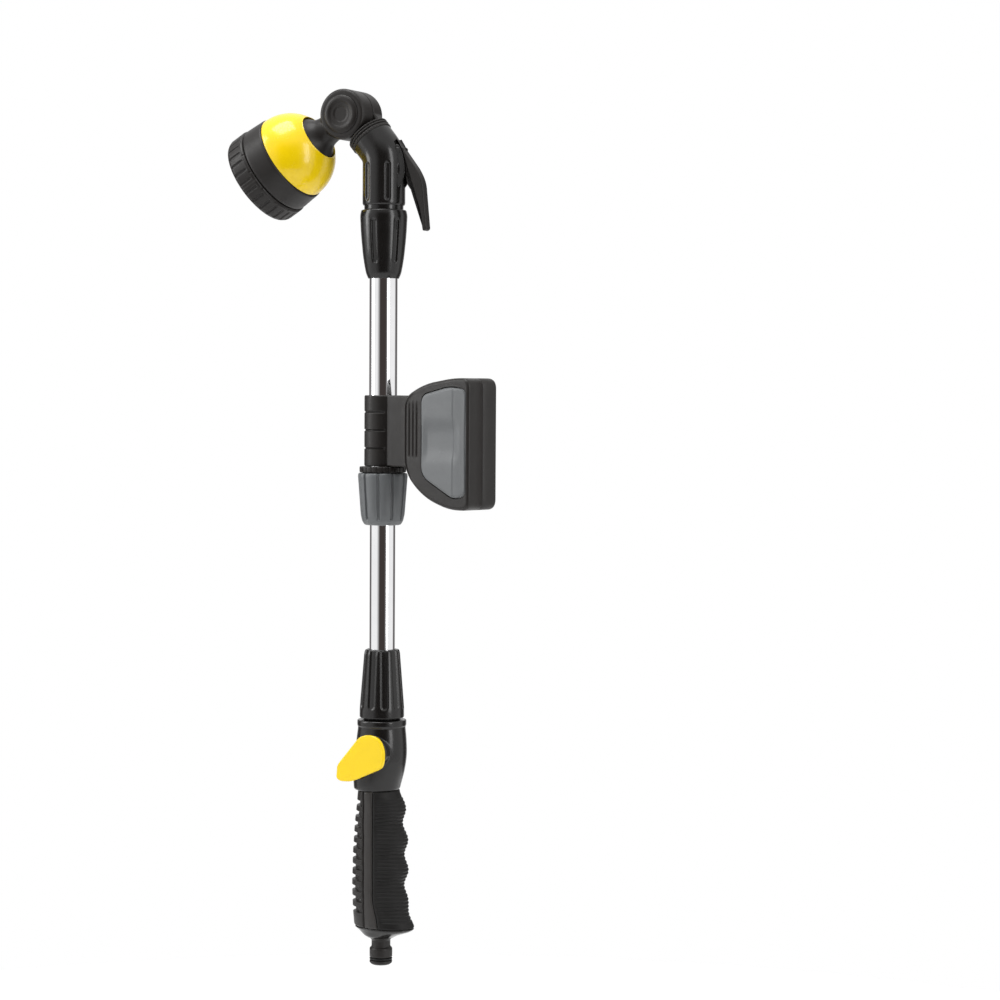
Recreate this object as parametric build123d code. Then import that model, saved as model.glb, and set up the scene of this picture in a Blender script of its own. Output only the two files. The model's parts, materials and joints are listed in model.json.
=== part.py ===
"""Telescopic watering wand clipped into its sliding pole holder, one STEP file per piece.

Millimetres, +Z up. While a piece is drawn, Z is its height above the hose plug's tip, X is measured from
the wand's axis and the spray head points towards -X. save() then moves every piece so that the origin is
the middle of the holder's pole bore, with the pole along Z and the wand at -X.
"""

from build123d import *
import os
from math import cos, radians, sin

# Pole and holder
POLE_X = 69.4
BORE_R = 11.1
BUSH_WALL = 2.2
BUSH_LENGTH = 11.0
BUSH_LOW = 367.5
BUSH_HIGH = 453.0
HOLDER_HALF = 16.2
HOLDER_WALL = 2.5
CLIP_LOW, CLIP_HIGH = 391.0, 446.0
CLIP_OUTER_R = 14.5
CLIP_MOUTH = 38
BUTTON_PROUD = 1.2
BUTTON_TRAVEL = 2.0
BUTTON_GAP = 0.45
SHOE_LOW, SHOE_HIGH = 396.0, 424.0
WEDGE_SLOPE = 0.6

# Tubes
UPPER_R, LOWER_R, TUBE_WALL = 11.0, 10.0, 0.8
UPPER_LOW, UPPER_HIGH = 362.0, 589.5
LOWER_LOW, LOWER_HIGH = 197.0, 480.0
RUNNING = 0.06
MOVING_GAP = 0.4

# Clamp under the upper tube
NUT_LOW, NUT_HIGH = 345.0, 386.0
FLANGE_R, FLANGE_HIGH = 18.2, 390.6

# Handle
PLUG_HEAD_R, PLUG_BORE_R = 8.9, 5.0
GRIP_LOW, GRIP_HIGH = 30.0, 138.0
GRIP_HALF_Y = 17.0
HOUSING_HIGH = 193.0
LEVER_X, LEVER_Z = 2.5, 169.0
LEVER_FACE_Y = -20.6
LEVER_ARM = 3.0
BOSS_R = 12.6
SPOOL_R, SPOOL_END = 6.0, 13.5
SPOOL_GROOVES = (-13.0, 9.5)
COLLAR_LOW, COLLAR_HIGH = 194.5, 248.0

# Neck, its trigger and the plunger that the trigger pushes
NECK_R = 16.6
NECK_COLLAR_LOW, NECK_COLLAR_HIGH = 536.5, 589.5
NECK_LOW, NECK_BEND_Z = 593.0, 625.0
NECK_BEND = 40.0
BEND_R = 20.0
BEND_RUN = 8.6
UNION_R, UNION_GROOVE_R, UNION_LENGTH = 17.4, 16.0, 6.6
TRIGGER_X, TRIGGER_Z = 14.6, 634.2
TRIGGER_HALF = 3.8
HUB_R, EAR_R, EAR_HALF = 4.2, 3.6, 1.9
TRIGGER_TURN = 10.0
PLUNGER_Z = 620.0
INLET_X, OUTLET_X = 3.5, -8.5

# Knuckle and spray head
KNUCKLE_X, KNUCKLE_Z, KNUCKLE_R = -29.2, 663.4, 19.7
KNUCKLE_NEAR, KNUCKLE_FAR = -16.5, 12.5
SPLIT = 0.3
SPIGOT_R = 8.0
HEAD_Y = -5.0
HEAD_DROP = 31.0
DOME_LOW, DOME_HIGH, DOME_CENTRE, DOME_R = 31.4, 62.5, 60.5, 34.9
BAND_HIGH = 78.4
DIAL_HIGH = 95.0
DIAL_R = 37.5
FLOOR_LOW = DIAL_HIGH - 21.0
DIAL_RIBS = 30

BASE = (Align.CENTER, Align.CENTER, Align.MIN)
HOME = Pos(-POLE_X, 0, -(BUSH_LOW + BUSH_HIGH) / 2)
WAND_TURN = 15.0
WAND_HOME = HOME * Rot(0, 0, WAND_TURN)
HEAD = Plane(
    origin=(KNUCKLE_X, HEAD_Y, KNUCKLE_Z),
    x_dir=(0, 1, 0),
    z_dir=(-cos(radians(HEAD_DROP)), 0, -sin(radians(HEAD_DROP))),
)


def save(name, shape, home=HOME):
    export_step(home * shape, f"parts/{name}.step")


def rod(radius, low, high, x=0.0, y=0.0):
    """Solid cylinder along Z."""
    return Pos(x, y, low) * Cylinder(radius, high - low, align=BASE)


def ring(outer, inner, low, high, x=0.0, y=0.0):
    """Hollow cylinder along Z."""
    return rod(outer, low, high, x, y) - rod(inner, low, high, x, y)


def across(radius, low, high, x, z):
    """Solid cylinder along Y, from low to high."""
    return Pos(x, (low + high) / 2, z) * Rot(90, 0, 0) * Cylinder(radius, high - low)


def forward(radius, low, high, z, y=0.0):
    """Solid cylinder along X, from low to high."""
    return Pos((low + high) / 2, y, z) * Rot(0, 90, 0) * Cylinder(radius, high - low)


def block(x, y, z):
    """Box between the two limits given on each axis."""
    size = [high - low for low, high in (x, y, z)]
    centre = [(high + low) / 2 for low, high in (x, y, z)]
    return Pos(*centre) * Box(*size)


def turned(*points):
    """Outline of (radius, height) points turned about Z."""
    return revolve(Plane.XZ * make_face(Polyline(*points, close=True)), Axis.Z)


def plate(points, low, high, radius=0.0):
    """Outline of (x, z) points, its corners rounded, thick from low to high in Y."""
    line = FilletPolyline(*points, radius=radius, close=True) if radius else Polyline(*points, close=True)
    return extrude(Plane.XZ.offset(-high) * make_face(line), high - low)


def around(shape, count, start=0.0):
    """Copies of a shape turned evenly about Z."""
    return [Rot(0, 0, start + 360 * index / count) * shape for index in range(count)]


def flute(width, depth_r, low, high):
    """Round-ended cutter for a slot that runs along Z in a surface of revolution."""
    half = width / 2
    body = Pos(depth_r, 0, low + half) * Cylinder(half, high - low - width, align=BASE)
    return body + Pos(depth_r, 0, low + half) * Sphere(half) + Pos(depth_r, 0, high - half) * Sphere(half)


def coil(radius, wire, length, turns):
    """Compression spring along Z from z = 0."""
    path = Helix(pitch=(length - 2 * wire) / turns, height=length - 2 * wire, radius=radius)
    start = Plane(origin=path @ 0, z_dir=path % 0)
    return Pos(0, 0, wire) * sweep(start * Circle(wire), path, is_frenet=True)


# ---------------------------------------------------------------------------------------------- holder

HOLDER_OUTLINE = [
    (37.6, 387), (37.6, 445), (58, 455), (88, 459.5), (105.3, 459.5), (105.3, 360), (84, 360), (58, 368.5),
]
HOLDER_SCREWS = [(47.5, 437.5), (47.5, 393.5)]
BUTTON_OUTLINE = [(57, 385), (57, 446.5), (86, 453), (102, 451), (102, 371), (90, 368.5)]


def grown(points, amount, low, high, radius):
    """The plate of an outline moved outwards by amount, or inwards when it is negative."""
    face = make_face(FilletPolyline(*points, radius=radius, close=True))
    return extrude(Plane.XZ.offset(-high) * offset(face, amount=amount), high - low)


def holder_body():
    """Both halves of the holder's case in one, before they are cut apart."""
    case = grown(HOLDER_OUTLINE, 0, -HOLDER_HALF, HOLDER_HALF, 7)
    rims = case.faces().sort_by(Axis.Y)[0].edges() + case.faces().sort_by(Axis.Y)[-1].edges()
    case = fillet(rims, 2.2)
    inner = HOLDER_HALF - HOLDER_WALL
    case -= grown(HOLDER_OUTLINE, -HOLDER_WALL, -inner, inner, 7)
    case -= grown(BUTTON_OUTLINE, BUTTON_GAP, -HOLDER_HALF - 1, HOLDER_HALF + 1, 5)
    case -= rod(BORE_R + 0.5, 350, 470, POLE_X)
    for side in (-1, 1):
        for groove_x in (43.5, 48.5):
            depth = block((groove_x - 0.6, groove_x + 0.6), (-0.7, 0.7), (396, 440))
            case -= Pos(0, side * HOLDER_HALF, 0) * depth
    for x, z in HOLDER_SCREWS:
        case += across(3.6, -inner, inner, x, z)
    return case


def holder_shell(side):
    """Half of the case: side -1 is the near half and 1 the far half."""
    half = holder_body() & block((30, 115), (0, side * 20) if side > 0 else (-20, 0), (350, 470))
    for x, z in HOLDER_SCREWS:
        half -= across(1.6, -13, HOLDER_HALF + 1, x, z)
        half -= across(3.1, HOLDER_HALF - 2.5, HOLDER_HALF + 1, x, z)
    half -= block((30, 42.2), (-8.1, 8.1), (CLIP_LOW - 1, CLIP_HIGH + 1))
    return half


def holder_clip():
    """Ribbed C-clip that snaps onto the upper tube, with the arm that the case closes on."""
    clip = rod(CLIP_OUTER_R, CLIP_LOW, CLIP_HIGH)
    arm = block((8, 42), (-8, 8), (CLIP_LOW, CLIP_HIGH))
    arm = fillet(arm.edges().filter_by(Axis.Z), 1.5)
    clip += arm
    for z in (405, 419, 433):
        groove = ring(CLIP_OUTER_R + 2, CLIP_OUTER_R - 0.9, z - 0.5, z + 0.5)
        clip -= groove - block((9, 20), (-20, 20), (z - 1, z + 1))
    clip -= rod(UPPER_R + RUNNING, CLIP_LOW, CLIP_HIGH)
    reach = 30
    mouth = Polyline(
        (0, 0),
        (-reach * cos(radians(CLIP_MOUTH)), reach * sin(radians(CLIP_MOUTH))),
        (-reach * cos(radians(CLIP_MOUTH)), -reach * sin(radians(CLIP_MOUTH))),
        close=True,
    )
    clip -= Pos(0, 0, CLIP_LOW) * extrude(make_face(mouth), CLIP_HIGH - CLIP_LOW)
    return clip


def pole_bushes():
    """The two plain rings that slide on the pole."""
    outer = BORE_R + BUSH_WALL
    low = ring(outer, BORE_R, BUSH_LOW, BUSH_LOW + BUSH_LENGTH, POLE_X)
    return low + ring(outer, BORE_R, BUSH_HIGH - BUSH_LENGTH, BUSH_HIGH, POLE_X)


def bush_seats():
    """Room for the bushes in the case's top and bottom walls."""
    return rod(BORE_R + BUSH_WALL + 0.05, BUSH_LOW - 0.05, BUSH_HIGH + 0.05, POLE_X)


def holder_screws():
    screws = Part()
    for x, z in HOLDER_SCREWS:
        screws += across(1.55, -12, HOLDER_HALF - 2.5, x, z)
        head = across(2.9, HOLDER_HALF - 2.45, HOLDER_HALF - 0.5, x, z)
        screws += head - across(1.1, HOLDER_HALF - 1.5, HOLDER_HALF, x, z)
    return screws


def button(side):
    """Squeeze button with the wedge that draws the brake shoe back."""
    outer = HOLDER_HALF + BUTTON_PROUD
    inner = HOLDER_HALF - HOLDER_WALL + 0.1
    cap = grown(BUTTON_OUTLINE, 0, inner, outer, 5)
    cap = fillet(cap.faces().sort_by(Axis.Y)[-1].edges(), 1.0)
    cap -= Pos(70, outer + 58.3, 412) * Rot(0, 90, 0) * Cylinder(60, 26)
    for low in (BUSH_LOW, BUSH_HIGH - BUSH_LENGTH):
        for sink in (0, BUTTON_TRAVEL / 2, BUTTON_TRAVEL):
            cap -= rod(BORE_R + BUSH_WALL + BUTTON_GAP, low - 0.5, low + BUSH_LENGTH + 0.5, POLE_X, sink + 0.1)
    cap += block((87.6, 90.6), (6.4, inner + 0.5), (402, 418))
    for post_z, hook_low, hook_high in ((371.5, 366.2, 374.5), (448.0, 448.0, 454.2)):
        cap += block((86, 94), (11.6, inner + 0.2), (post_z, post_z + 3))
        cap += block((86, 94), (11.6, 13.2), (hook_low, hook_high))
    return cap if side > 0 else mirror(cap, about=Plane.XZ)


def brake_shoe():
    """Sliding block behind the pad: the buttons' wedges bear on its flared tail."""
    near = 90.9 + WEDGE_SLOPE * (4 - 6.4)
    far = 90.9 + WEDGE_SLOPE * (9 - 6.4)
    points = [(84, -8), (86, -8), (86, -4), (near, -4), (far, -9), (96.5, -9),
              (96.5, 9), (far, 9), (near, 4), (86, 4), (86, 8), (84, 8)]
    shoe = Pos(0, 0, SHOE_LOW) * extrude(make_face(Polyline(*points, close=True)), SHOE_HIGH - SHOE_LOW)
    return shoe - forward(5.4, 94.5, 97, 410)


def brake_pad():
    pad = block((77, 84), (-8, 8), (SHOE_LOW, SHOE_HIGH))
    return pad - rod(BORE_R + 0.15, SHOE_LOW, SHOE_HIGH, POLE_X)


def brake_spring():
    return Pos(94.6, 0, 410) * Rot(0, 90, 0) * coil(4.3, 0.5, 8.0, 4)


def shoe_guides():
    """Two rails in the case that the brake shoe slides between."""
    rails = block((84, 98), (-7, 7), (SHOE_LOW - 3.2, SHOE_LOW - 0.3))
    rails += block((84, 98), (-7, 7), (SHOE_HIGH + 0.3, SHOE_HIGH + 3.2))
    back = block((98.6, 102.7), (-6, 6), (SHOE_LOW - 3.2, SHOE_HIGH + 3.2)) - forward(5.2, 98.5, 102.6, 410)
    return rails + back + block((84, 102.7), (-7, 7), (390, 392.9)) + block((84, 102.7), (-7, 7), (427.1, 430))


# ------------------------------------------------------------------------------------ tubes and clamp

def upper_tube():
    return ring(UPPER_R, UPPER_R - TUBE_WALL, UPPER_LOW, UPPER_HIGH)


def lower_tube():
    return ring(LOWER_R, LOWER_R - TUBE_WALL, LOWER_LOW, LOWER_HIGH)


def tube_piston():
    """Ring on the lower tube's top end that keeps it in line and stops it at full length."""
    outer = UPPER_R - TUBE_WALL - RUNNING
    body = turned((5, LOWER_HIGH - 12), (9.1, LOWER_HIGH - 12), (9.1, LOWER_HIGH + 0.1),
                  (outer, LOWER_HIGH + 0.1), (outer, LOWER_HIGH + 8), (5, LOWER_HIGH + 8))
    return body - ring(outer + 1, 8.6, LOWER_HIGH + 3, LOWER_HIGH + 5.4)


def piston_seal():
    return ring(UPPER_R - TUBE_WALL - 0.02, 8.65, LOWER_HIGH + 3.1, LOWER_HIGH + 5.3)


def clamp_sleeve():
    """Threaded body on the upper tube's lower end, with the flange above the nut."""
    body = turned((UPPER_R + 0.05, 352.8), (14.0, 352.8), (14.0, NUT_HIGH), (FLANGE_R, NUT_HIGH),
                  (FLANGE_R, FLANGE_HIGH - 1), (FLANGE_R - 1, FLANGE_HIGH), (UPPER_R + 0.05, FLANGE_HIGH))
    for index in range(6):
        body += ring(14.6, 13.8, 356 + 4 * index, 357.4 + 4 * index)
    stop = ring(UPPER_R + 0.2, LOWER_R + RUNNING, 358, UPPER_LOW - 0.05)
    return body + stop


def collet_ring():
    """Split ring that the nut closes on the lower tube."""
    body = turned((LOWER_R + RUNNING, 346.8), (12.0, 346.8), (13.4, 351.8), (LOWER_R + RUNNING, 351.8))
    for gap in around(block((8, 15), (-0.5, 0.5), (346, 350.6)), 6):
        body -= gap
    return body


def clamp_nut():
    inner = 15.0
    body = turned((LOWER_R + 0.5, NUT_LOW), (13.2, NUT_LOW), (15.6, NUT_LOW + 3.5), (17.0, NUT_LOW + 8),
                  (19.5, NUT_HIGH - 2.5), (19.0, NUT_HIGH - 0.4), (inner, NUT_HIGH - 0.4),
                  (inner, 352.2), (13.9, 352.2), (12.5, 346.4), (LOWER_R + 0.5, 346.4))
    for cut in around(flute(2.6, 19.3, NUT_LOW + 4, NUT_HIGH + 6), 10, 18):
        body -= cut
    return body


# ------------------------------------------------------------------------------------------- handle

GRIP_SCREWS = [(-8.5, 52), (-8.5, 116)]
GRIP_FRONT_X, GRIP_BACK_X = 6.5, -2.0


def eased(low, high, value):
    """0 below low, 1 above high and a smooth rise between them."""
    share = min(1.0, max(0.0, (value - low) / (high - low)))
    return share * share * (3 - 2 * share)


def grip_front(z):
    """How far the grip stands out towards the fingers at a height: finger waves and a flared foot."""
    wave = 1.9 * cos(radians(360 * (z - 27) / 24.0))
    return 20.9 + wave - 3.0 * eased(88, 128, z) - 3.0 * eased(128, 139, z) + 6.3 * (1 - eased(34, 52, z))


def grip_back(z):
    """How far the grip swells towards the palm at a height."""
    belly = 62.0
    return 24.1 - (5.6 * ((z - belly) / 73) ** 2 if z > belly else 1.6 * ((belly - z) / 30) ** 2)


def grip_side(z):
    return GRIP_HALF_Y + 0.8 * (z - GRIP_LOW) / (GRIP_HIGH - GRIP_LOW)


def oval(front, back, side, z):
    """Level oval that reaches front along +X, back along -X and side each way along Y."""
    return Pos((front - back) / 2, 0, z) * Ellipse((front + back) / 2, side)


def grip_body():
    """The whole grip's outside as one solid."""
    count = 19
    heights = [GRIP_LOW + (GRIP_HIGH - GRIP_LOW) * index / (count - 1) for index in range(count)]
    return loft([oval(grip_front(z), grip_back(z), grip_side(z), z) for z in heights])


def grip_core_space(extra=0.0):
    return extrude(Pos(-2.5, 0, GRIP_LOW) * Ellipse(14.0 + extra, 12.0 + extra), GRIP_HIGH - GRIP_LOW)


def handle_core():
    """Hard body of the handle: hollow stem inside the grip, valve housing and tube socket."""
    foot_top = oval(grip_front(GRIP_LOW), grip_back(GRIP_LOW), GRIP_HALF_Y, GRIP_LOW)
    foot = loft([Pos(0, 0, 23) * Ellipse(13.6, 12.6), foot_top]) + rod(11.5, 21.5, 24)
    waist = [(13.8, 19.4, 17.4, 138), (14.4, 22.4, 18.2, 141), (17.8, 22.8, 19.0, 152), (19.8, 21.6, 19.6, 165),
             (19.6, 19.8, 19.4, 177), (18.4, 18.4, 18.4, 188)]
    housing = loft([oval(*section) for section in waist])
    housing += rod(19.2, 188, HOUSING_HIGH)
    socket = rod(LOWER_R - TUBE_WALL - 0.05, HOUSING_HIGH, 222) + rod(14.2, HOUSING_HIGH, LOWER_LOW)
    core = grip_core_space() + foot + housing + socket
    core += across(BOSS_R, LEVER_FACE_Y + 0.3, 0, LEVER_X, LEVER_Z)
    core -= rod(PLUG_BORE_R, 20, 230)
    core -= across(SPOOL_R + RUNNING, LEVER_FACE_Y - 1, SPOOL_END + 0.1, LEVER_X, LEVER_Z)
    core -= rod(9.3, 21, 36)
    for x, z in GRIP_SCREWS:
        core -= across(1.55, -GRIP_HALF_Y, GRIP_HALF_Y, x, z)
    return core


def grip_piece(low_x, high_x, low_y, high_y):
    """The part of the grip between four upright planes, round the hard core."""
    piece = grip_body() - grip_core_space(0.05)
    return piece & block((low_x, high_x), (low_y, high_y), (GRIP_LOW, GRIP_HIGH))


def grip_rubber():
    return grip_piece(GRIP_FRONT_X, 30, -20, 20)


def side_panel(side):
    panel = grip_piece(GRIP_BACK_X, GRIP_FRONT_X - 0.1, 5, 20)
    return panel if side > 0 else mirror(panel, about=Plane.XZ)


def spine_insert():
    """Back of the grip with its row of open slots."""
    spine = grip_piece(-30, GRIP_BACK_X - 0.1, -20, 20)
    for index in range(11):
        spine -= block((-30, -18.5), (-9, 9), (42 + 8.4 * index, 45.2 + 8.4 * index))
    for x, z in GRIP_SCREWS:
        for side in (-1, 1):
            low, high = sorted((side * 8, side * 20))
            spine -= across(1.6, low, high, x, z)
            low, high = sorted((side * 12, side * 20))
            spine -= across(2.9, low, high, x, z)
    return spine


def grip_screws():
    screws = Part()
    for x, z in GRIP_SCREWS:
        for side in (-1, 1):
            low, high = sorted((side * 6, side * 13.0))
            shank = across(1.5, low, high, x, z)
            low, high = sorted((side * 12.05, side * 13.7))
            screws += shank + across(2.7, low, high, x, z)
    return screws


def hose_plug():
    """Male half of the snap hose coupling, screwed into the handle's foot."""
    body = turned((PLUG_BORE_R, 0), (7.4, 0), (PLUG_HEAD_R, 1.4), (PLUG_HEAD_R, 12.4), (8.3, 13.4), (7.4, 14),
                  (7.4, 19.4), (9.0, 21.3), (9.2, 22), (9.2, 35.5), (PLUG_BORE_R, 35.5))
    return body - ring(PLUG_HEAD_R + 1, 7.6, 3.4, 5.8)


def plug_seal():
    return Pos(0, 0, 4.6) * Torus(8.0, 0.92) - rod(7.62, 3, 6)


def handle_collar():
    """Fluted nut over the lower tube's foot."""
    body = turned((LOWER_R + 0.05, 199), (14.2, 199), (14.2, COLLAR_LOW), (17.4, COLLAR_LOW), (17.4, 201),
                  (14.0, COLLAR_HIGH - 2), (13.2, COLLAR_HIGH), (LOWER_R + 0.05, COLLAR_HIGH))
    slot = Pos(17.8, 0, 203) * Rot(0, -4.2, 0) * flute(3.0, 0, 0, 40)
    for cut in around(slot, 10, 18):
        body -= cut
    return body


def collar_washer():
    """Ring in the handle collar that grips the tube's foot."""
    return ring(14.1, LOWER_R + 0.04, LOWER_LOW + 0.1, 198.9)


def lever_frame(shape):
    """Moves a shape drawn about the flow lever's axis to its place."""
    return Pos(LEVER_X, 0, LEVER_Z) * shape


LEVER_OUTLINE = [
    (-30.2, -21.4), (-29.2, -10.8), (-8.4, 11.6), (-1.5, 12.8), (7, 11), (12.5, 3), (12.6, -6), (10.6, -11.4),
    (-16.8, -23.6), (-27, -23.6),
]


def flow_lever():
    """Thumb lever on the near side of the valve housing, whose end turns round the housing's back."""
    low, high = LEVER_FACE_Y - LEVER_ARM, LEVER_FACE_Y
    arm = plate(LEVER_OUTLINE, low, high, 3.0)
    arm = fillet(arm.faces().sort_by(Axis.Y)[0].edges(), 1.0)
    pad = block((-30.0, -27.2), (low + 1.2, low + 14.0), (-20.0, -11.6))
    pad = fillet(pad.edges().filter_by(Axis.Y), 1.2)
    lever = arm + pad - across(1.7, -30, 0, 0, 0)
    lever -= across(3.6, low - 1, low + 1.4, 0, 0)
    return lever_frame(lever)


def valve_spool():
    """Turning valve shaft with a port through its middle and a groove at each seal."""
    spool = across(SPOOL_R, LEVER_FACE_Y + 0.02, SPOOL_END, 0, 0) - rod(4.0, -10, 10)
    for y in SPOOL_GROOVES:
        spool -= across(SPOOL_R + 1, y - 0.9, y + 0.9, 0, 0) - across(SPOOL_R - 1.2, y - 0.9, y + 0.9, 0, 0)
    spool -= across(1.55, LEVER_FACE_Y - 1, -12, 0, 0)
    return lever_frame(spool)


def spool_seals():
    seals = Part()
    for y in SPOOL_GROOVES:
        seals += across(SPOOL_R + 0.02, y - 0.85, y + 0.85, 0, 0) - across(SPOOL_R - 1.15, y - 0.85, y + 0.85, 0, 0)
    return lever_frame(seals)


def lever_screw():
    face = LEVER_FACE_Y - LEVER_ARM + 1.4
    screw = across(1.5, face, -13, 0, 0) + across(3.3, face - 1.2, face, 0, 0)
    return lever_frame(screw - across(1.2, face - 1.3, face - 0.4, 0, 0))


# --------------------------------------------------------------------------------------------- neck

def neck_collar():
    """Barrel-shaped nut that holds the neck on the upper tube."""
    body = turned((UPPER_R + 0.05, NECK_COLLAR_LOW), (11.9, NECK_COLLAR_LOW), (13.6, NECK_COLLAR_LOW + 4),
                  (15.8, NECK_COLLAR_LOW + 16), (17.6, NECK_COLLAR_LOW + 36), (18.0, NECK_COLLAR_HIGH - 4),
                  (17.2, NECK_COLLAR_HIGH), (UPPER_R + 0.05, NECK_COLLAR_HIGH))
    slot = Pos(18.6, 0, NECK_COLLAR_LOW + 11) * Rot(0, 4.0, 0) * flute(5.0, 0, 0, 35)
    for cut in around(slot, 6, 33):
        body -= cut
    return body


def neck_end(run):
    """Point on the neck's centre line, run past the end of its bend."""
    turn = radians(NECK_BEND)
    return -BEND_R + BEND_R * cos(turn) - run * sin(turn), NECK_BEND_Z + BEND_R * sin(turn) + run * cos(turn)


def union_plane(step=0.0):
    """Plane across the union's axis, step along it from the neck's end."""
    x, z = neck_end(BEND_RUN + step)
    turn = radians(NECK_BEND)
    return Plane(origin=(x, 0, z), x_dir=(0, 1, 0), z_dir=(-sin(turn), 0, cos(turn)))


def neck_outside(extra=0.0):
    """The neck's round outside, upright and bent, as one solid."""
    radius = NECK_R + extra
    bend = revolve(Pos(0, 0, NECK_BEND_Z) * Circle(radius), Axis((-BEND_R, 0, NECK_BEND_Z), (0, -1, 0)), NECK_BEND)
    run = union_plane(-BEND_RUN) * Cylinder(radius, BEND_RUN, align=BASE)
    return rod(radius, NECK_LOW, NECK_BEND_Z) + bend + run


def neck_body():
    """Neck with its valve chamber, water ways, and the ear and pockets for the trigger's hub."""
    neck = neck_outside() + rod(15.2, NECK_COLLAR_HIGH, NECK_LOW)
    neck += rod(UPPER_R - TUBE_WALL - 0.05, 572, NECK_COLLAR_HIGH)
    for angle in (69, 129, 189, 249, 309):
        neck -= Rot(0, 0, angle) * flute(4.6, NECK_R + 1.4, NECK_LOW + 3, NECK_BEND_Z + 1)
    neck += across(EAR_R, -EAR_HALF, EAR_HALF, TRIGGER_X, TRIGGER_Z)
    for side in (-1, 1):
        low, high = sorted((side * EAR_HALF, side * (TRIGGER_HALF + MOVING_GAP)))
        neck -= across(HUB_R + 0.5, low, high, TRIGGER_X, TRIGGER_Z)
    neck -= across(1.56, -8, 8, TRIGGER_X, TRIGGER_Z)
    neck -= forward(6.5, -13, 20, PLUNGER_Z)
    neck -= union_plane() * rod(14.05, -0.95, 0.1)
    neck -= rod(5.0, 571, PLUNGER_Z, INLET_X)
    neck -= rod(3.6, PLUNGER_Z, 640, OUTLET_X)
    neck -= union_plane(-BEND_RUN - 2) * Cylinder(12.05, BEND_RUN + 2, align=BASE)
    neck -= ring(UPPER_R, 8.7, 576, 578.4)
    return neck


def collar_seal():
    return ring(UPPER_R - TUBE_WALL - 0.01, 8.75, 576.1, 578.3)


def union_ring():
    """Grooved ring nut between the neck and the knuckle."""
    steps = [(UNION_R, 0.0, 2.4), (UNION_GROOVE_R, 2.4, 3.2), (UNION_R, 3.2, 4.6), (UNION_GROOVE_R, 4.6, 5.2),
             (UNION_R, 5.2, UNION_LENGTH)]
    body = Part()
    for radius, low, high in steps:
        body += ring(radius, 12.05, low, high)
    for cut in around(flute(1.6, UNION_R + 0.4, -2, UNION_LENGTH + 2), 20):
        body -= cut
    return union_plane() * body


def union_seal():
    return union_plane() * ring(14.0, 12.06, -0.9, -0.05)


def knuckle_housing():
    """Fixed half of the knuckle: drum, throat into the union ring and the spigot the head turns on."""
    drum = across(KNUCKLE_R, SPLIT, KNUCKLE_FAR, KNUCKLE_X, KNUCKLE_Z)
    drum = fillet(drum.faces().sort_by(Axis.Y)[-1].edges(), 3.5)
    throat = union_plane() * block((SPLIT, 11.8), (-13.5, 12.0), (UNION_LENGTH, UNION_LENGTH + 16))
    stem = union_plane() * rod(12.0, 1 - BEND_RUN, UNION_LENGTH + 0.3)
    spigot = across(SPIGOT_R, -10, SPLIT + 1, KNUCKLE_X, KNUCKLE_Z)
    body = drum + throat + stem + spigot
    body -= union_plane() * rod(4.4, -8, 30, 5.6, 1.0)
    body -= across(5.0, -4, 8, KNUCKLE_X, KNUCKLE_Z)
    body -= across(1.6, -11, -3, KNUCKLE_X, KNUCKLE_Z)
    body -= across(9, -7.4, -5.6, KNUCKLE_X, KNUCKLE_Z) - across(6.9, -7.4, -5.6, KNUCKLE_X, KNUCKLE_Z)
    return body


def pivot_seal():
    seal = across(SPIGOT_R + 0.01, -7.35, -5.65, KNUCKLE_X, KNUCKLE_Z)
    return seal - across(6.95, -8, -5, KNUCKLE_X, KNUCKLE_Z)


def pivot_screw():
    """Screw and its broad head that keep the head's drum on the spigot."""
    shank = across(1.55, -10.05, -3.2, KNUCKLE_X, KNUCKLE_Z)
    return shank + across(9.6, -11.4, -10.05, KNUCKLE_X, KNUCKLE_Z) + across(4, -12.6, -11.4, KNUCKLE_X, KNUCKLE_Z)


TRIGGER_OUTLINE = [
    (8.5, 646.5), (12, 644), (15.5, 640.5), (33.6, 620.9), (37.2, 613), (39.8, 575.6), (36.5, 574.2), (33.8, 590),
    (28.4, 601.4), (21.6, 608), (18.8, 616), (10, 632),
]
TRIGGER_HOLLOW = [
    (12, 640), (16.4, 636.6), (32, 619.2), (35, 612.2), (36, 597), (30, 602), (21.6, 611), (14, 616), (8, 630),
]


def about_trigger_pin(shape, angle):
    """Turns a shape about the trigger's pin."""
    turn = Pos(TRIGGER_X, 0, TRIGGER_Z) * Rot(0, angle, 0) * Pos(-TRIGGER_X, 0, -TRIGGER_Z)
    return turn * shape


def trigger_lever():
    """Shut-off trigger behind the neck: a channel whose hub straddles the neck's ear."""
    body = plate(TRIGGER_OUTLINE, -TRIGGER_HALF, TRIGGER_HALF, 1.2)
    clear = neck_outside(0.5)
    for turn in (0, TRIGGER_TURN / 2, TRIGGER_TURN):
        body -= about_trigger_pin(clear, -turn)
    body += across(HUB_R, -TRIGGER_HALF, TRIGGER_HALF, TRIGGER_X, TRIGGER_Z)
    room = EAR_HALF + MOVING_GAP
    body -= across(EAR_R + 0.6, -room, room, TRIGGER_X, TRIGGER_Z)
    body -= plate(TRIGGER_HOLLOW, -room, room)
    body += plate([(20.6, 613.5), (20.6, 626), (26, 626), (26, 613.5)], -room - 0.2, room + 0.2)
    return body - across(1.5, -10, 10, TRIGGER_X, TRIGGER_Z)


def trigger_pin():
    return across(1.5, -TRIGGER_HALF - 1.6, TRIGGER_HALF + 1.6, TRIGGER_X, TRIGGER_Z)


def gland_nut():
    return forward(6.45, 9.5, 15.8, PLUNGER_Z) - forward(2.5 + RUNNING, 9, 16, PLUNGER_Z)


def valve_seat():
    return forward(6.45, -4, -2, PLUNGER_Z) - forward(4.0, -5, -1, PLUNGER_Z)


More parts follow.
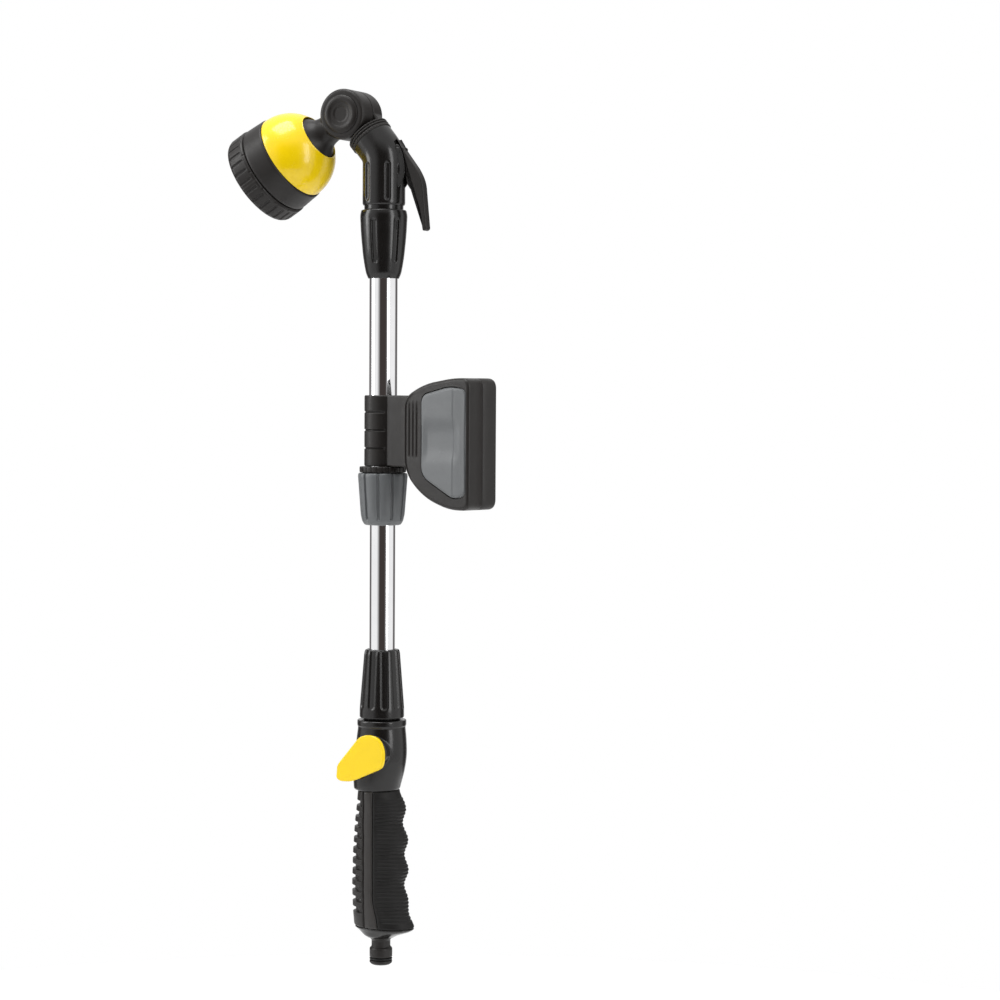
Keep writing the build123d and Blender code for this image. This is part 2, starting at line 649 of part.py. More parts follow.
def plunger():
    """Push rod from the trigger to the shut-off disc."""
    stem = forward(2.5, -2, 20.1, PLUNGER_Z)
    stem = chamfer(stem.faces().sort_by(Axis.X)[-1].edges(), 1.1)
    body = stem + forward(1.6, -8.8, -2, PLUNGER_Z)
    return body + forward(5.6, -7.6, -6.2, PLUNGER_Z)


def plunger_seal():
    return forward(5.4, -6.15, -4.2, PLUNGER_Z) - forward(1.62, -7, -4, PLUNGER_Z)


def plunger_spring():
    return Pos(-12.9, 0, PLUNGER_Z) * Rot(0, 90, 0) * coil(3.6, 0.45, 5.1, 2)


# --------------------------------------------------------------------------------------------- head

def head_elbow():
    """Turning half of the knuckle, with the stem that carries the spray head."""
    drum = across(KNUCKLE_R, KNUCKLE_NEAR, -SPLIT, KNUCKLE_X, KNUCKLE_Z)
    drum = fillet(drum.faces().sort_by(Axis.Y)[0].edges(), 2.5)
    stem = HEAD * turned((0, 6), (11.4, 6), (12.0, 21), (19.4, DOME_LOW + 1), (19.4, DOME_LOW + 5), (0, DOME_LOW + 5))
    far_drum = across(KNUCKLE_R + 0.7, -SPLIT, 30, KNUCKLE_X, KNUCKLE_Z)
    near_side = across(KNUCKLE_R, KNUCKLE_NEAR - 5, KNUCKLE_NEAR, KNUCKLE_X, KNUCKLE_Z)
    elbow = drum + (stem - far_drum - near_side)
    elbow -= across(SPIGOT_R + RUNNING, -10, 1, KNUCKLE_X, KNUCKLE_Z)
    elbow -= across(10.4, KNUCKLE_NEAR - 0.5, -9.95, KNUCKLE_X, KNUCKLE_Z)
    elbow -= HEAD * rod(4.5, 6, 40)
    return elbow


def pivot_cap():
    """Press-in cover of the knuckle's screw, with its ringed hollow."""
    y = KNUCKLE_NEAR
    cap = Pos(KNUCKLE_X, 0, KNUCKLE_Z) * Rot(90, 0, 0) * turned(
        (0, -y - 1.6), (10.3, -y - 1.6), (10.3, -y), (14.6, -y), (14.2, -y + 1.1), (11.5, -y + 2.0),
        (10.8, -y + 1.5), (6.4, -y + 1.1), (5.6, -y + 0.5), (0, -y + 0.3))
    return cap


def dome_shell():
    """Yellow back of the spray head, a hollow part sphere."""
    outer = Pos(0, 0, DOME_CENTRE) * Sphere(DOME_R)
    inner = Pos(0, 0, DOME_CENTRE) * Sphere(DOME_R - 2.6)
    slab = rod(50, DOME_LOW + 0.6, DOME_HIGH)
    shell = (outer - inner) & slab
    return HEAD * (shell - rod(19.45, 20, DOME_LOW + 5.2))


def head_band():
    """Smooth black band with the chamber behind the spray plate."""
    body = turned((33.0, DOME_HIGH), (35.2, DOME_HIGH), (35.8, DOME_HIGH + 1), (36.6, BAND_HIGH - 0.6),
                  (36.0, BAND_HIGH), (33.6, BAND_HIGH), (33.6, DOME_HIGH + 4), (33.0, DOME_HIGH + 4))
    floor = rod(34.0, FLOOR_LOW, FLOOR_LOW + 2.4)
    for index in range(8):
        floor -= Rot(0, 0, 45 * index) * rod(3.0, FLOOR_LOW - 1, FLOOR_LOW + 3, 20)
    post = ring(5.2, 1.6, FLOOR_LOW + 2.0, FLOOR_LOW + 12.0)
    return HEAD * (body + floor - rod(1.6, FLOOR_LOW - 2, FLOOR_LOW + 13) + post)


def head_seal():
    return HEAD * ring(33.5, 31.6, FLOOR_LOW + 2.5, FLOOR_LOW + 4.0)


def dial_ring():
    """Ribbed outer ring turned by hand to change the spray."""
    body = turned((34.6, BAND_HIGH + MOVING_GAP), (36.6, BAND_HIGH + MOVING_GAP), (DIAL_R, BAND_HIGH + 1.6),
                  (DIAL_R, DIAL_HIGH - 2.4), (36.2, DIAL_HIGH), (33.4, DIAL_HIGH), (33.4, DIAL_HIGH - 4.0),
                  (34.6, DIAL_HIGH - 4.4))
    for cut in around(flute(2.2, DIAL_R + 0.5, BAND_HIGH + 3.2, DIAL_HIGH - 3.4), DIAL_RIBS):
        body -= cut
    return HEAD * body


def spray_plate():
    """Perforated face in four rings of holes, fixed in the dial."""
    plate_low, plate_high = DIAL_HIGH - 7.0, DIAL_HIGH - 4.5
    body = rod(34.5, plate_low - 3.0, plate_high) - rod(32.0, plate_low - 3.0, plate_low)
    body -= rod(6.0, plate_low - 4, plate_high + 1)
    for radius, count in ((11, 8), (17, 14), (23, 20), (29, 26)):
        hole = rod(0.8, plate_low - 1, plate_high + 1, radius)
        body -= around(hole, count)
    return HEAD * body


def pattern_disc():
    """Flat disc behind the spray plate that opens one group of ports at a time."""
    body = ring(34.4, 6.4, DIAL_HIGH - 12.4, DIAL_HIGH - 10.0)
    for index in range(4):
        body -= Rot(0, 0, 90 * index) * rod(3.2, DIAL_HIGH - 14, DIAL_HIGH - 9, 20)
    return HEAD * body


def centre_screw():
    seat = FLOOR_LOW + 12.05
    shank = rod(1.5, FLOOR_LOW + 2.6, seat)
    head = turned((0, seat), (5.6, seat), (5.6, DIAL_HIGH - 4.2), (8.2, DIAL_HIGH - 4.2), (8.2, DIAL_HIGH - 3.2),
                  (6.6, DIAL_HIGH - 2.0), (0, DIAL_HIGH - 1.3))
    return HEAD * (shank + head)


def build():
    os.makedirs("parts", exist_ok=True)
    for name, side in (("holder_shell_near", -1), ("holder_shell_far", 1)):
        save(name, holder_shell(side) - bush_seats())
    save("shoe_guide", shoe_guides())
    save("button_near", button(-1))
    save("button_far", button(1))
    for make in (holder_clip, pole_bushes, holder_screws, brake_shoe, brake_pad, brake_spring):
        save(make.__name__, make())
    for make in (upper_tube, lower_tube, tube_piston, piston_seal, clamp_sleeve, collet_ring, clamp_nut,
                 handle_core, grip_rubber, spine_insert, grip_screws, hose_plug, plug_seal, handle_collar,
                 collar_washer, flow_lever, valve_spool, spool_seals, lever_screw, neck_collar, neck_body,
                 collar_seal, union_ring, union_seal, knuckle_housing, pivot_seal, pivot_screw, trigger_lever,
                 trigger_pin, gland_nut, valve_seat, plunger, plunger_seal, plunger_spring, head_elbow,
                 pivot_cap, dome_shell, head_band, head_seal, dial_ring, spray_plate, pattern_disc,
                 centre_screw):
        save(make.__name__, make(), WAND_HOME)
    save("side_panel_near", side_panel(-1), WAND_HOME)
    save("side_panel_far", side_panel(1), WAND_HOME)


if __name__ == "__main__":
    build()
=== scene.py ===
"""Looks of the telescopic watering wand and its pole holder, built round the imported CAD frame."""

import json
from math import atan2, cos, pi, radians, sin

import bmesh
import bpy
import numpy as np
from mathutils import Matrix, Vector


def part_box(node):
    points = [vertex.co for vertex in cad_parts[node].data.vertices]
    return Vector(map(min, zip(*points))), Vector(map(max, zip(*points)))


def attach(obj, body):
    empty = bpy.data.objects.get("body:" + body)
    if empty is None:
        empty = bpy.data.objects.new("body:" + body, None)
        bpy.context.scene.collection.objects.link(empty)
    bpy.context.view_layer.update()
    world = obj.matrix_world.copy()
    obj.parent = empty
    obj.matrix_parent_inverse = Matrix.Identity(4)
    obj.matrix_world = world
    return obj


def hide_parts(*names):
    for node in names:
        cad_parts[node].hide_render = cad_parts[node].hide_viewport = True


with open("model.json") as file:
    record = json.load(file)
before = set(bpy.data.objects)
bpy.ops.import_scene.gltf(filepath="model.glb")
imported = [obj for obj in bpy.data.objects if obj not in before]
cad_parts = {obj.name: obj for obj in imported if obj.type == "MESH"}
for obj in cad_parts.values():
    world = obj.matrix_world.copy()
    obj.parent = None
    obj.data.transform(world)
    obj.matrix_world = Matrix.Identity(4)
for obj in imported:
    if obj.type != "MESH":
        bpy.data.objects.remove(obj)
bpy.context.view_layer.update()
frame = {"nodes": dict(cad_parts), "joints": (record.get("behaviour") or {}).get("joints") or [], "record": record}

# ------------------------------------------------------------------------------------- shared frame
# Shapes are drawn in millimetres from the hose plug's tip, with the wand's axis as Z. HOLDER places those of
# the holder. WAND places those of the wand, which stands turned about its own axis in the holder's clip.

MM = 0.001
TUBE_LOW, TUBE_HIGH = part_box("upper_tube")
AXIS_X = (TUBE_LOW.x + TUBE_HIGH.x) / 2
PLUG_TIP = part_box("hose_plug")[0].z
POLE_X = -AXIS_X / MM
JOINTS = {joint["name"]: joint for joint in frame["joints"]}
LEVER_WAY = JOINTS["flow_lever"]["axis"]
WAND_TURN = atan2(-LEVER_WAY[0], LEVER_WAY[1])
HOLDER = Matrix.Translation((AXIS_X, 0, PLUG_TIP)) @ Matrix.Diagonal((MM, MM, MM, 1))
WAND = HOLDER @ Matrix.Rotation(WAND_TURN, 4, "Z")
HOLDER_BODIES = ("holder", "button_near", "button_far")


def limits(node, place=WAND):
    """A node's box in the millimetres of WAND or HOLDER, as two corners."""
    made = frame["nodes"][node]
    inverse = place.inverted() @ made.matrix_world
    points = np.array([inverse @ vertex.co for vertex in made.data.vertices])
    return Vector(points.min(0)), Vector(points.max(0))


def axes(origin, x_axis, z_axis):
    """Frame in wand millimetres from an origin and two of its axes."""
    z = Vector(z_axis).normalized()
    x = Vector(x_axis).normalized()
    y = z.cross(x)
    turn = Matrix((x, y, z)).transposed().to_4x4()
    return Matrix.Translation(origin) @ turn


def joint_place(name):
    return WAND.inverted() @ Vector(JOINTS[name]["pos_m"])


KNUCKLE = joint_place("head_tilt")
HEAD_AXIS = Matrix.Rotation(-WAND_TURN, 3, "Z") @ Vector(JOINTS["spray_dial"]["axis"])
HEAD_Y = joint_place("spray_dial").y
HEAD = axes((KNUCKLE.x, HEAD_Y, KNUCKLE.z), (0, 1, 0), HEAD_AXIS)
LEVER = joint_place("flow_lever")
TRIGGER = joint_place("trigger")
NEAR_SIDE = axes((KNUCKLE.x, 0, KNUCKLE.z), (1, 0, 0), (0, -1, 0))

# ---------------------------------------------------------------------------------------- materials


class Graph:
    """A short way to write a node tree."""

    def __init__(self, tree):
        self.tree = tree

    def add(self, kind, **settings):
        node = self.tree.nodes.new(kind)
        for key, value in settings.items():
            setattr(node, key, value)
        return node

    def link(self, out, socket):
        self.tree.links.new(out, socket)

    def noise(self, where, scale, detail=3.0, rough=0.55, stretch=(1, 1, 1)):
        mapping = self.add("ShaderNodeMapping")
        mapping.inputs["Scale"].default_value = stretch
        self.link(where, mapping.inputs["Vector"])
        noise = self.add("ShaderNodeTexNoise")
        noise.inputs["Scale"].default_value = scale
        noise.inputs["Detail"].default_value = detail
        noise.inputs["Roughness"].default_value = rough
        self.link(mapping.outputs["Vector"], noise.inputs["Vector"])
        return noise.outputs["Fac"]

    def ramp(self, factor, stops):
        ramp = self.add("ShaderNodeValToRGB")
        while len(ramp.color_ramp.elements) < len(stops):
            ramp.color_ramp.elements.new(0.5)
        for element, (place, colour) in zip(ramp.color_ramp.elements, stops):
            element.position = place
            element.color = (*colour, 1) if len(colour) == 3 else colour
        self.link(factor, ramp.inputs["Fac"])
        return ramp.outputs["Color"]

    def levels(self, factor, low, high, out_low, out_high):
        remap = self.add("ShaderNodeMapRange", clamp=True)
        for name, value in (("From Min", low), ("From Max", high), ("To Min", out_low), ("To Max", out_high)):
            remap.inputs[name].default_value = value
        self.link(factor, remap.inputs["Value"])
        return remap.outputs["Result"]

    def math(self, operation, a, b):
        node = self.add("ShaderNodeMath", operation=operation)
        for socket, value in zip(node.inputs, (a, b)):
            if isinstance(value, (int, float)):
                socket.default_value = value
            else:
                self.link(value, socket)
        return node.outputs["Value"]

    def mix(self, factor, a, b, blend="MIX"):
        node = self.add("ShaderNodeMix", data_type="RGBA", blend_type=blend)
        self.link(factor, node.inputs["Factor"])
        for socket, value in ((node.inputs["A"], a), (node.inputs["B"], b)):
            if isinstance(value, tuple):
                socket.default_value = (*value, 1)
            else:
                self.link(value, socket)
        return node.outputs["Result"]

    def bump(self, height, strength, distance, normal=None):
        node = self.add("ShaderNodeBump")
        node.inputs["Strength"].default_value = strength
        node.inputs["Distance"].default_value = distance
        self.link(height, node.inputs["Height"])
        if normal is not None:
            self.link(normal, node.inputs["Normal"])
        return node.outputs["Normal"]


def shade(colour, amount):
    return tuple(max(0.0, min(1.0, channel * amount)) for channel in colour)


def material(name):
    made = bpy.data.materials.new(name)
    made.use_nodes = True
    made.node_tree.nodes.clear()
    graph = Graph(made.node_tree)
    output = graph.add("ShaderNodeOutputMaterial")
    shader = graph.add("ShaderNodeBsdfPrincipled")
    graph.link(shader.outputs["BSDF"], output.inputs["Surface"])
    place = graph.add("ShaderNodeTexCoord").outputs["Object"]
    return made, graph, shader, place


def plastic(name, base, rough, spread, grain, grain_depth, wear=0.0, coat=0.0, level=0.5, flow=0.06):
    """Moulded plastic: flow mottling, spark-eroded grain, hairline scratches, dust and rubbed edges."""
    made, graph, shader, place = material(name)
    mottle = graph.noise(place, 55, 4)
    fine = graph.noise(place, grain, 2, 0.6)
    hair = graph.noise(place, 420, 5, 0.75, (1, 1, 0.09))
    dust = graph.noise(place, 900, 6, 0.8)
    colour = graph.ramp(mottle, [(0.3, shade(base, 1 - flow)), (0.7, shade(base, 1 + flow))])
    speck = graph.levels(dust, 0.66, 0.78, 0.0, 0.16)
    colour = graph.mix(speck, colour, tuple(0.6 * c + 0.12 for c in base))
    if wear:
        edge = graph.add("ShaderNodeNewGeometry").outputs["Pointiness"]
        rubbed = graph.levels(edge, 0.52, 0.60, 0.0, wear)
        rubbed = graph.math("MULTIPLY", rubbed, graph.levels(hair, 0.35, 0.65, 0.3, 1.0))
        colour = graph.mix(rubbed, colour, tuple(min(1.0, c * 1.7 + 0.06) for c in base))
    graph.link(colour, shader.inputs["Base Color"])
    polish = graph.levels(graph.noise(place, 130, 5, 0.65), 0.3, 0.7, rough - spread, rough + spread)
    scratch = graph.levels(hair, 0.6, 0.72, 0.0, spread)
    graph.link(graph.math("ADD", polish, scratch), shader.inputs["Roughness"])
    normal = graph.bump(fine, 0.5, grain_depth)
    normal = graph.bump(hair, 0.12, 0.00003, normal)
    graph.link(normal, shader.inputs["Normal"])
    shader.inputs["Specular IOR Level"].default_value = level
    shader.inputs["Coat Weight"].default_value = coat
    shader.inputs["Coat Roughness"].default_value = 0.08
    return made


def soft_rubber(name, base, rough):
    """Soft moulded rubber: matt, finely pitted, darker where it has been held."""
    made, graph, shader, place = material(name)
    pits = graph.noise(place, 1500, 3, 0.7)
    patch = graph.noise(place, 38, 5, 0.6)
    colour = graph.ramp(patch, [(0.32, shade(base, 0.8)), (0.68, shade(base, 1.25))])
    lint = graph.levels(graph.noise(place, 700, 7, 0.85), 0.68, 0.8, 0.0, 0.2)
    colour = graph.mix(lint, colour, tuple(c + 0.05 for c in base))
    graph.link(colour, shader.inputs["Base Color"])
    graph.link(graph.levels(patch, 0.3, 0.7, rough - 0.08, rough + 0.08), shader.inputs["Roughness"])
    graph.link(graph.bump(pits, 0.6, 0.00006), shader.inputs["Normal"])
    shader.inputs["Specular IOR Level"].default_value = 0.22
    return made


def metal(name, base, rough, stretch, smear):
    """Bright metal with polishing lines, smears and small pits."""
    made, graph, shader, place = material(name)
    lines = graph.noise(place, 900, 4, 0.7, stretch)
    smudge = graph.noise(place, 45, 5, 0.62)
    pits = graph.noise(place, 2600, 2, 0.5)
    tint = graph.ramp(smudge, [(0.35, shade(base, 0.955)), (0.65, shade(base, 1.0))])
    tint = graph.mix(graph.levels(pits, 0.72, 0.8, 0, 0.25), tint, shade(base, 0.72))
    graph.link(tint, shader.inputs["Base Color"])
    film = graph.levels(smudge, 0.45, 0.7, rough, rough + smear)
    film = graph.math("ADD", film, graph.levels(lines, 0.5, 0.75, 0.0, smear))
    graph.link(film, shader.inputs["Roughness"])
    graph.link(graph.bump(lines, 0.08, 0.00002), shader.inputs["Normal"])
    shader.inputs["Metallic"].default_value = 1.0
    return made


MATERIALS = {
    "chrome_tube": metal("chrome_tube", (0.86, 0.86, 0.87), 0.045, (1, 1, 0.05), 0.05),
    "steel": metal("steel", (0.58, 0.58, 0.59), 0.22, (1, 1, 1), 0.12),
    "black_gloss": plastic("black_gloss", (0.0072, 0.0066, 0.0062), 0.22, 0.05, 1900, 0.00002, 0.3, 0.15,
                           0.35),
    "black_satin": plastic("black_satin", (0.0145, 0.0128, 0.0118), 0.4, 0.06, 2300, 0.00005, 0.3, 0.0, 0.28),
    "grip_rubber": soft_rubber("grip_rubber", (0.0075, 0.007, 0.0067), 0.55),
    "seal_rubber": soft_rubber("seal_rubber", (0.006, 0.006, 0.006), 0.45),
    "panel_charcoal": plastic("panel_charcoal", (0.028, 0.0255, 0.024), 0.36, 0.06, 2100, 0.00004, 0.2, 0.0,
                              0.32),
    "yellow": plastic("yellow", (0.86, 0.6, 0.0012), 0.24, 0.05, 1700, 0.000012, 0.0, 0.3, 0.35, 0.03),
    "grey": plastic("grey", (0.118, 0.124, 0.128), 0.38, 0.05, 2400, 0.00005, 0.2, 0.0, 0.35),
    "white_nylon": plastic("white_nylon", (0.55, 0.54, 0.5), 0.45, 0.05, 1800, 0.00004),
    "face_grey": plastic("face_grey", (0.03, 0.03, 0.032), 0.4, 0.06, 2100, 0.00004, 0.2, 0.0, 0.3),
}

# --------------------------------------------------------------------------------------- mesh tools


def smooth_step(low, high, value):
    t = np.clip((value - low) / (high - low), 0, 1)
    return t * t * (3 - 2 * t)


def rounded(points, radius, steps=4, closed=False):
    """A polyline with each corner rounded by the radius, or by a shorter one where a side is short."""
    pts = [np.array(p, float) for p in points]
    count = len(pts)
    radii = radius if isinstance(radius, (list, tuple)) else [radius] * count
    out = []
    for i, corner in enumerate(pts):
        if not closed and i in (0, count - 1):
            out.append(corner)
            continue
        before, after = pts[i - 1] - corner, pts[(i + 1) % count] - corner
        reach = min(radii[i], 0.48 * np.linalg.norm(before), 0.48 * np.linalg.norm(after))
        start = corner + before / np.linalg.norm(before) * reach
        end = corner + after / np.linalg.norm(after) * reach
        for t in np.linspace(0, 1, steps + 1):
            out.append((1 - t) ** 2 * start + 2 * t * (1 - t) * corner + t * t * end)
    return np.array(out)


def dense(points, step, closed=False):
    """The same line with no stretch longer than step."""
    out = []
    ends = list(points[1:]) + ([points[0]] if closed else [])
    for start, end in zip(points, ends):
        parts = max(1, int(np.ceil(np.linalg.norm(np.array(end) - start) / step)))
        for part in range(parts):
            out.append(start + (np.array(end) - start) * part / parts)
    if not closed:
        out.append(points[-1])
    return np.array(out)


def piece(node, part, slot, body, frame_matrix=None, sharp=38):
    """A finished mesh object from (verts, faces), which rides on its body and stands for its CAD node."""
    place = HOLDER if body in HOLDER_BODIES else WAND
    if frame_matrix is not None:
        place = place @ frame_matrix
    name = f"{node}_skin"
    mesh = bpy.data.meshes.new(name)
    mesh.from_pydata([tuple(v) for v in part[0]], [], part[1])
    mesh.transform(place)
    build = bmesh.new()
    build.from_mesh(mesh)
    bmesh.ops.remove_doubles(build, verts=build.verts, dist=1e-7)
    bmesh.ops.recalc_face_normals(build, faces=build.faces)
    build.to_mesh(mesh)
    build.free()
    made = bpy.data.objects.new(name, mesh)
    bpy.context.scene.collection.objects.link(made)
    finish_piece(made, slot, body, [node], sharp)
    return made


def finish_piece(made, slot, body, stands_for, sharp=38):
    mesh = made.data
    mesh.shade_smooth()
    mesh.set_sharp_from_angle(angle=radians(sharp))
    mesh.materials.clear()
    mesh.materials.append(MATERIALS[slot])
    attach(made, body)
    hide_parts(*stands_for)


def grid_faces(rows, columns, wrap_rows, wrap_columns):
    faces = []
    for i in range(rows if wrap_rows else rows - 1):
        for j in range(columns if wrap_columns else columns - 1):
            k, m = (i + 1) % rows, (j + 1) % columns
            faces.append((i * columns + j, i * columns + m, k * columns + m, k * columns + j))
    return faces


def lathe_mesh(profile, segments, relief=None):
    """Points (radius, height) turned about Z. relief(angle, radius, height) gives each point's new radius.
    A profile that starts and ends on the axis is capped there, and any other is a closed ring."""
    profile = np.array(profile, float)
    angles = np.linspace(0, 2 * pi, segments, endpoint=False)
    on_axis = abs(profile[0, 0]) < 1e-6 and abs(profile[-1, 0]) < 1e-6
    body = profile[1:-1] if on_axis else profile
    radius = np.repeat(body[:, :1], segments, 1)
    height = np.repeat(body[:, 1:], segments, 1)
    angle = np.repeat(angles[None, :], len(body), 0)
    if relief is not None:
        radius = relief(angle, radius, height)
    verts = np.stack([radius * np.cos(angle), radius * np.sin(angle), height], -1).reshape(-1, 3)
    faces = grid_faces(len(body), segments, not on_axis, True)
    if on_axis:
        first, last = len(verts), len(verts) + 1
        verts = np.vstack([verts, (0, 0, profile[0, 1]), (0, 0, profile[-1, 1])])
        top = (len(body) - 1) * segments
        for j in range(segments):
            m = (j + 1) % segments
            faces.append((first, m, j))
            faces.append((last, top + j, top + m))
    return verts, faces


def capsule(angle, radius, height, count, half, low, high, turn=0.0):
    """0 to 1 inside round-ended slots that run along the axis, evenly spaced about it."""
    pitch = 2 * pi / count
    off = (angle - turn + pitch / 2) % pitch - pitch / 2
    side = off * radius
    beyond = np.maximum(0, np.maximum(low + half - height, height - high + half))
    away = np.sqrt(side ** 2 + beyond ** 2)
    return smooth_step(half, half * 0.45, away)


def stack_mesh(rings, flipped=False):
    """Closed solid through rings that have as many points each, with a flat face at both ends."""
    count = len(rings[0])
    faces = grid_faces(len(rings), count, False, True)
    ends = [tuple(range(count)), tuple(reversed(range((len(rings) - 1) * count, len(rings) * count)))]
    if flipped:
        ends = [end[::-1] for end in ends]
    return np.vstack(rings), faces + ends


def slab_mesh(outline, layers):
    """Outline (x, z) stacked along Y. Each layer is (y, inset) and the ends are closed flat."""
    outline = np.array(outline, float)
    before, after = np.roll(outline, 1, 0), np.roll(outline, -1, 0)
    along = after - before
    along /= np.linalg.norm(along, axis=1)[:, None]
    area = np.sum(outline[:, 0] * after[:, 1] - after[:, 0] * outline[:, 1])
    inward = np.stack([-along[:, 1], along[:, 0]], 1) * np.sign(area)
    rings = []
    for y, inset in layers:
        ring = outline + inward * inset
        rings.append(np.stack([ring[:, 0], np.full(len(ring), y), ring[:, 1]], 1))
    return stack_mesh(rings)


def soft_layers(low, high, radius, steps=4):
    """Layers of a slab from low to high whose rims are rounded."""
    turn = np.linspace(0, pi / 2, steps + 1)
    start = [(low + radius * (1 - sin(a)), radius * (1 - cos(a))) for a in turn[::-1]]
    end = [(high - radius * (1 - sin(a)), radius * (1 - cos(a))) for a in turn]
    return start + end


def join_meshes(*parts):
    """Several (verts, faces) as one."""
    verts, faces, base = [], [], 0
    for part_verts, part_faces in parts:
        verts.append(np.array(part_verts, float))
        faces += [tuple(index + base for index in face) for face in part_faces]
        base += len(part_verts)
    return np.vstack(verts), faces


def placed(part, matrix):
    """(verts, faces) moved by a matrix."""
    verts = np.array(part[0], float)
    turned = verts @ np.array(matrix.to_3x3()).T + np.array(matrix.translation)
    return turned, part[1]


def blended(made, voxel, smooth):
    """Melts overlapping solids into one skin with small fillets where they meet."""
    remesh = made.modifiers.new("melt", "REMESH")
    remesh.mode = "VOXEL"
    remesh.voxel_size = voxel * MM
    ease = made.modifiers.new("ease", "CORRECTIVE_SMOOTH")
    ease.factor = 0.5
    ease.iterations = smooth
    ease.smooth_type = "LENGTH_WEIGHTED"
    ease.use_only_smooth = True
    apply_modifiers(made)
    made.data.shade_smooth()


def apply_modifiers(made):
    graph = bpy.context.evaluated_depsgraph_get()
    flat = bpy.data.meshes.new_from_object(made.evaluated_get(graph))
    old = made.data
    name = old.name
    made.modifiers.clear()
    made.data = flat
    bpy.data.meshes.remove(old)
    flat.name = name


def add_solid(made, part):
    """Adds another closed solid, drawn in wand millimetres, to a piece."""
    build = bmesh.new()
    build.from_mesh(made.data)
    inverse = made.matrix_world.inverted() @ WAND
    verts = [build.verts.new(inverse @ Vector(point)) for point in part[0]]
    for face in part[1]:
        build.faces.new([verts[index] for index in face])
    bmesh.ops.remove_doubles(build, verts=build.verts, dist=1e-7)
    bmesh.ops.recalc_face_normals(build, faces=build.faces)
    build.to_mesh(made.data)
    build.free()


def cut_away(made, cutter_mesh, place=WAND):
    """Boolean difference with a (verts, faces) drawn in the millimetres of WAND or HOLDER."""
    mesh = bpy.data.meshes.new("cutter")
    mesh.from_pydata([tuple(v) for v in cutter_mesh[0]], [], cutter_mesh[1])
    mesh.transform(place)
    build = bmesh.new()
    build.from_mesh(mesh)
    bmesh.ops.recalc_face_normals(build, faces=build.faces)
    build.to_mesh(mesh)
    build.free()
    tool = bpy.data.objects.new("cutter", mesh)
    bpy.context.scene.collection.objects.link(tool)
    cut = made.modifiers.new("cut", "BOOLEAN")
    cut.operation = "DIFFERENCE"
    cut.solver = "EXACT"
    cut.object = tool
    bpy.context.view_layer.update()
    apply_modifiers(made)
    bpy.data.objects.remove(tool)


# -------------------------------------------------------------------------------- tubes and clamp


def tube(node, body):
    """Drawn metal tube with rolled ends."""
    low, high = limits(node)
    outer = (high.x - low.x) / 2
    inner = outer - 0.8
    profile = rounded([(inner, low.z), (outer, low.z), (outer, high.z), (inner, high.z)], 0.3, 3, True)
    piece(node, lathe_mesh(dense(profile, 12, True), 128), "chrome_tube", body)


def clamp_nut():
    low, high = limits("clamp_nut")
    base, top = low.z, high.z
    outline = [(12.0, base + 0.6), (13.0, base), (14.4, base + 0.7), (16.0, base + 3.4), (17.0, base + 8),
               (19.3, top - 2.2), (18.9, top), (15.2, top), (15.2, base + 7), (13.9, base + 7),
               (12.0, base + 1.5)]
    profile = dense(rounded(outline, 1.1, 4, True), 1.0, True)

    def flutes(angle, radius, height):
        slots = capsule(angle, radius, height, 10, 1.5, base + 4.2, top + 8)
        facet = 0.28 * np.cos(10 * angle)
        cut = radius - 1.25 * slots - facet * smooth_step(base + 3, base + 12, height)
        return np.where(radius > 15.6, cut, radius)

    piece("clamp_nut", lathe_mesh(profile, 400, flutes), "grey", "nut")


def clamp_flange():
    low, high = limits("clamp_sleeve")
    top = high.z
    outline = [(11.1, low.z), (14.0, low.z), (14.0, top - 4.8), (18.2, top - 4.4), (18.2, top), (11.1, top)]
    profile = rounded(outline, 0.8, 4, True)

    def notches(angle, radius, height):
        nick = capsule(angle, radius, height, 24, 0.9, top - 6, top + 2)
        return np.where(radius > 17, radius - 0.5 * nick, radius)

    piece("clamp_sleeve", lathe_mesh(dense(profile, 1.2, True), 288, notches), "black_satin", "upper")


# ------------------------------------------------------------------------------------------ handle


def handle_collar():
    low, high = limits("handle_collar")
    base, top = low.z, high.z
    outline = [(10.3, base), (16.9, base), (17.4, base + 0.8), (17.4, base + 7), (14.0, top - 3), (13.2, top),
               (10.3, top)]
    profile = dense(rounded(outline, [0.5, 0.6, 1, 9, 3.5, 1.6, 0.4], 6, True), 0.9, True)

    def flutes(angle, radius, height):
        """Long shallow facets with a round shoulder at the foot of each."""
        wide = capsule(angle, radius, height, 10, 3.6, base + 6.5, top + 6, radians(18))
        return np.where(radius > 11.5, radius - 0.95 * wide, radius)

    piece("handle_collar", lathe_mesh(profile, 400, flutes), "black_gloss", "lower")


GRIP_LOW, GRIP_HIGH = limits("grip_rubber")[0].z, limits("grip_rubber")[1].z
GRIP_SIDE = 17.0
FOOT_TURN, PANEL_TURN, SPINE_TURN = radians(70), radians(85), radians(112)


def grip_reach(height):
    """How far the grip stands out towards the fingers, the palm and each side at a height."""
    wave = 1.9 * np.cos(2 * pi * (height - 27) / 24.0)
    front = 20.9 + wave - 3.0 * smooth_step(88, 128, height) - 3.0 * smooth_step(128, 139, height)
    front = front + 6.3 * (1 - smooth_step(34, 52, height))
    above, below = np.maximum(height - 62, 0) / 73, np.maximum(62 - height, 0) / 30
    back = 24.1 - 5.6 * above ** 2 - 1.6 * below ** 2
    return front, back, GRIP_SIDE + 0.8 * (height - GRIP_LOW) / (GRIP_HIGH - GRIP_LOW)


def grip_radius(angle, height):
    """Distance from the axis to the grip's outside at an angle from the finger side."""
    front, back, side = grip_reach(height)
    middle = (front - back) / 2
    half = (front + back) / 2
    c, s = np.cos(angle), np.sin(angle)
    a = (c / half) ** 2 + (s / side) ** 2
    b = -2 * middle * c / half ** 2
    d = (middle / half) ** 2 - 1
    return (-b + np.sqrt(b * b - 4 * a * d)) / (2 * a)


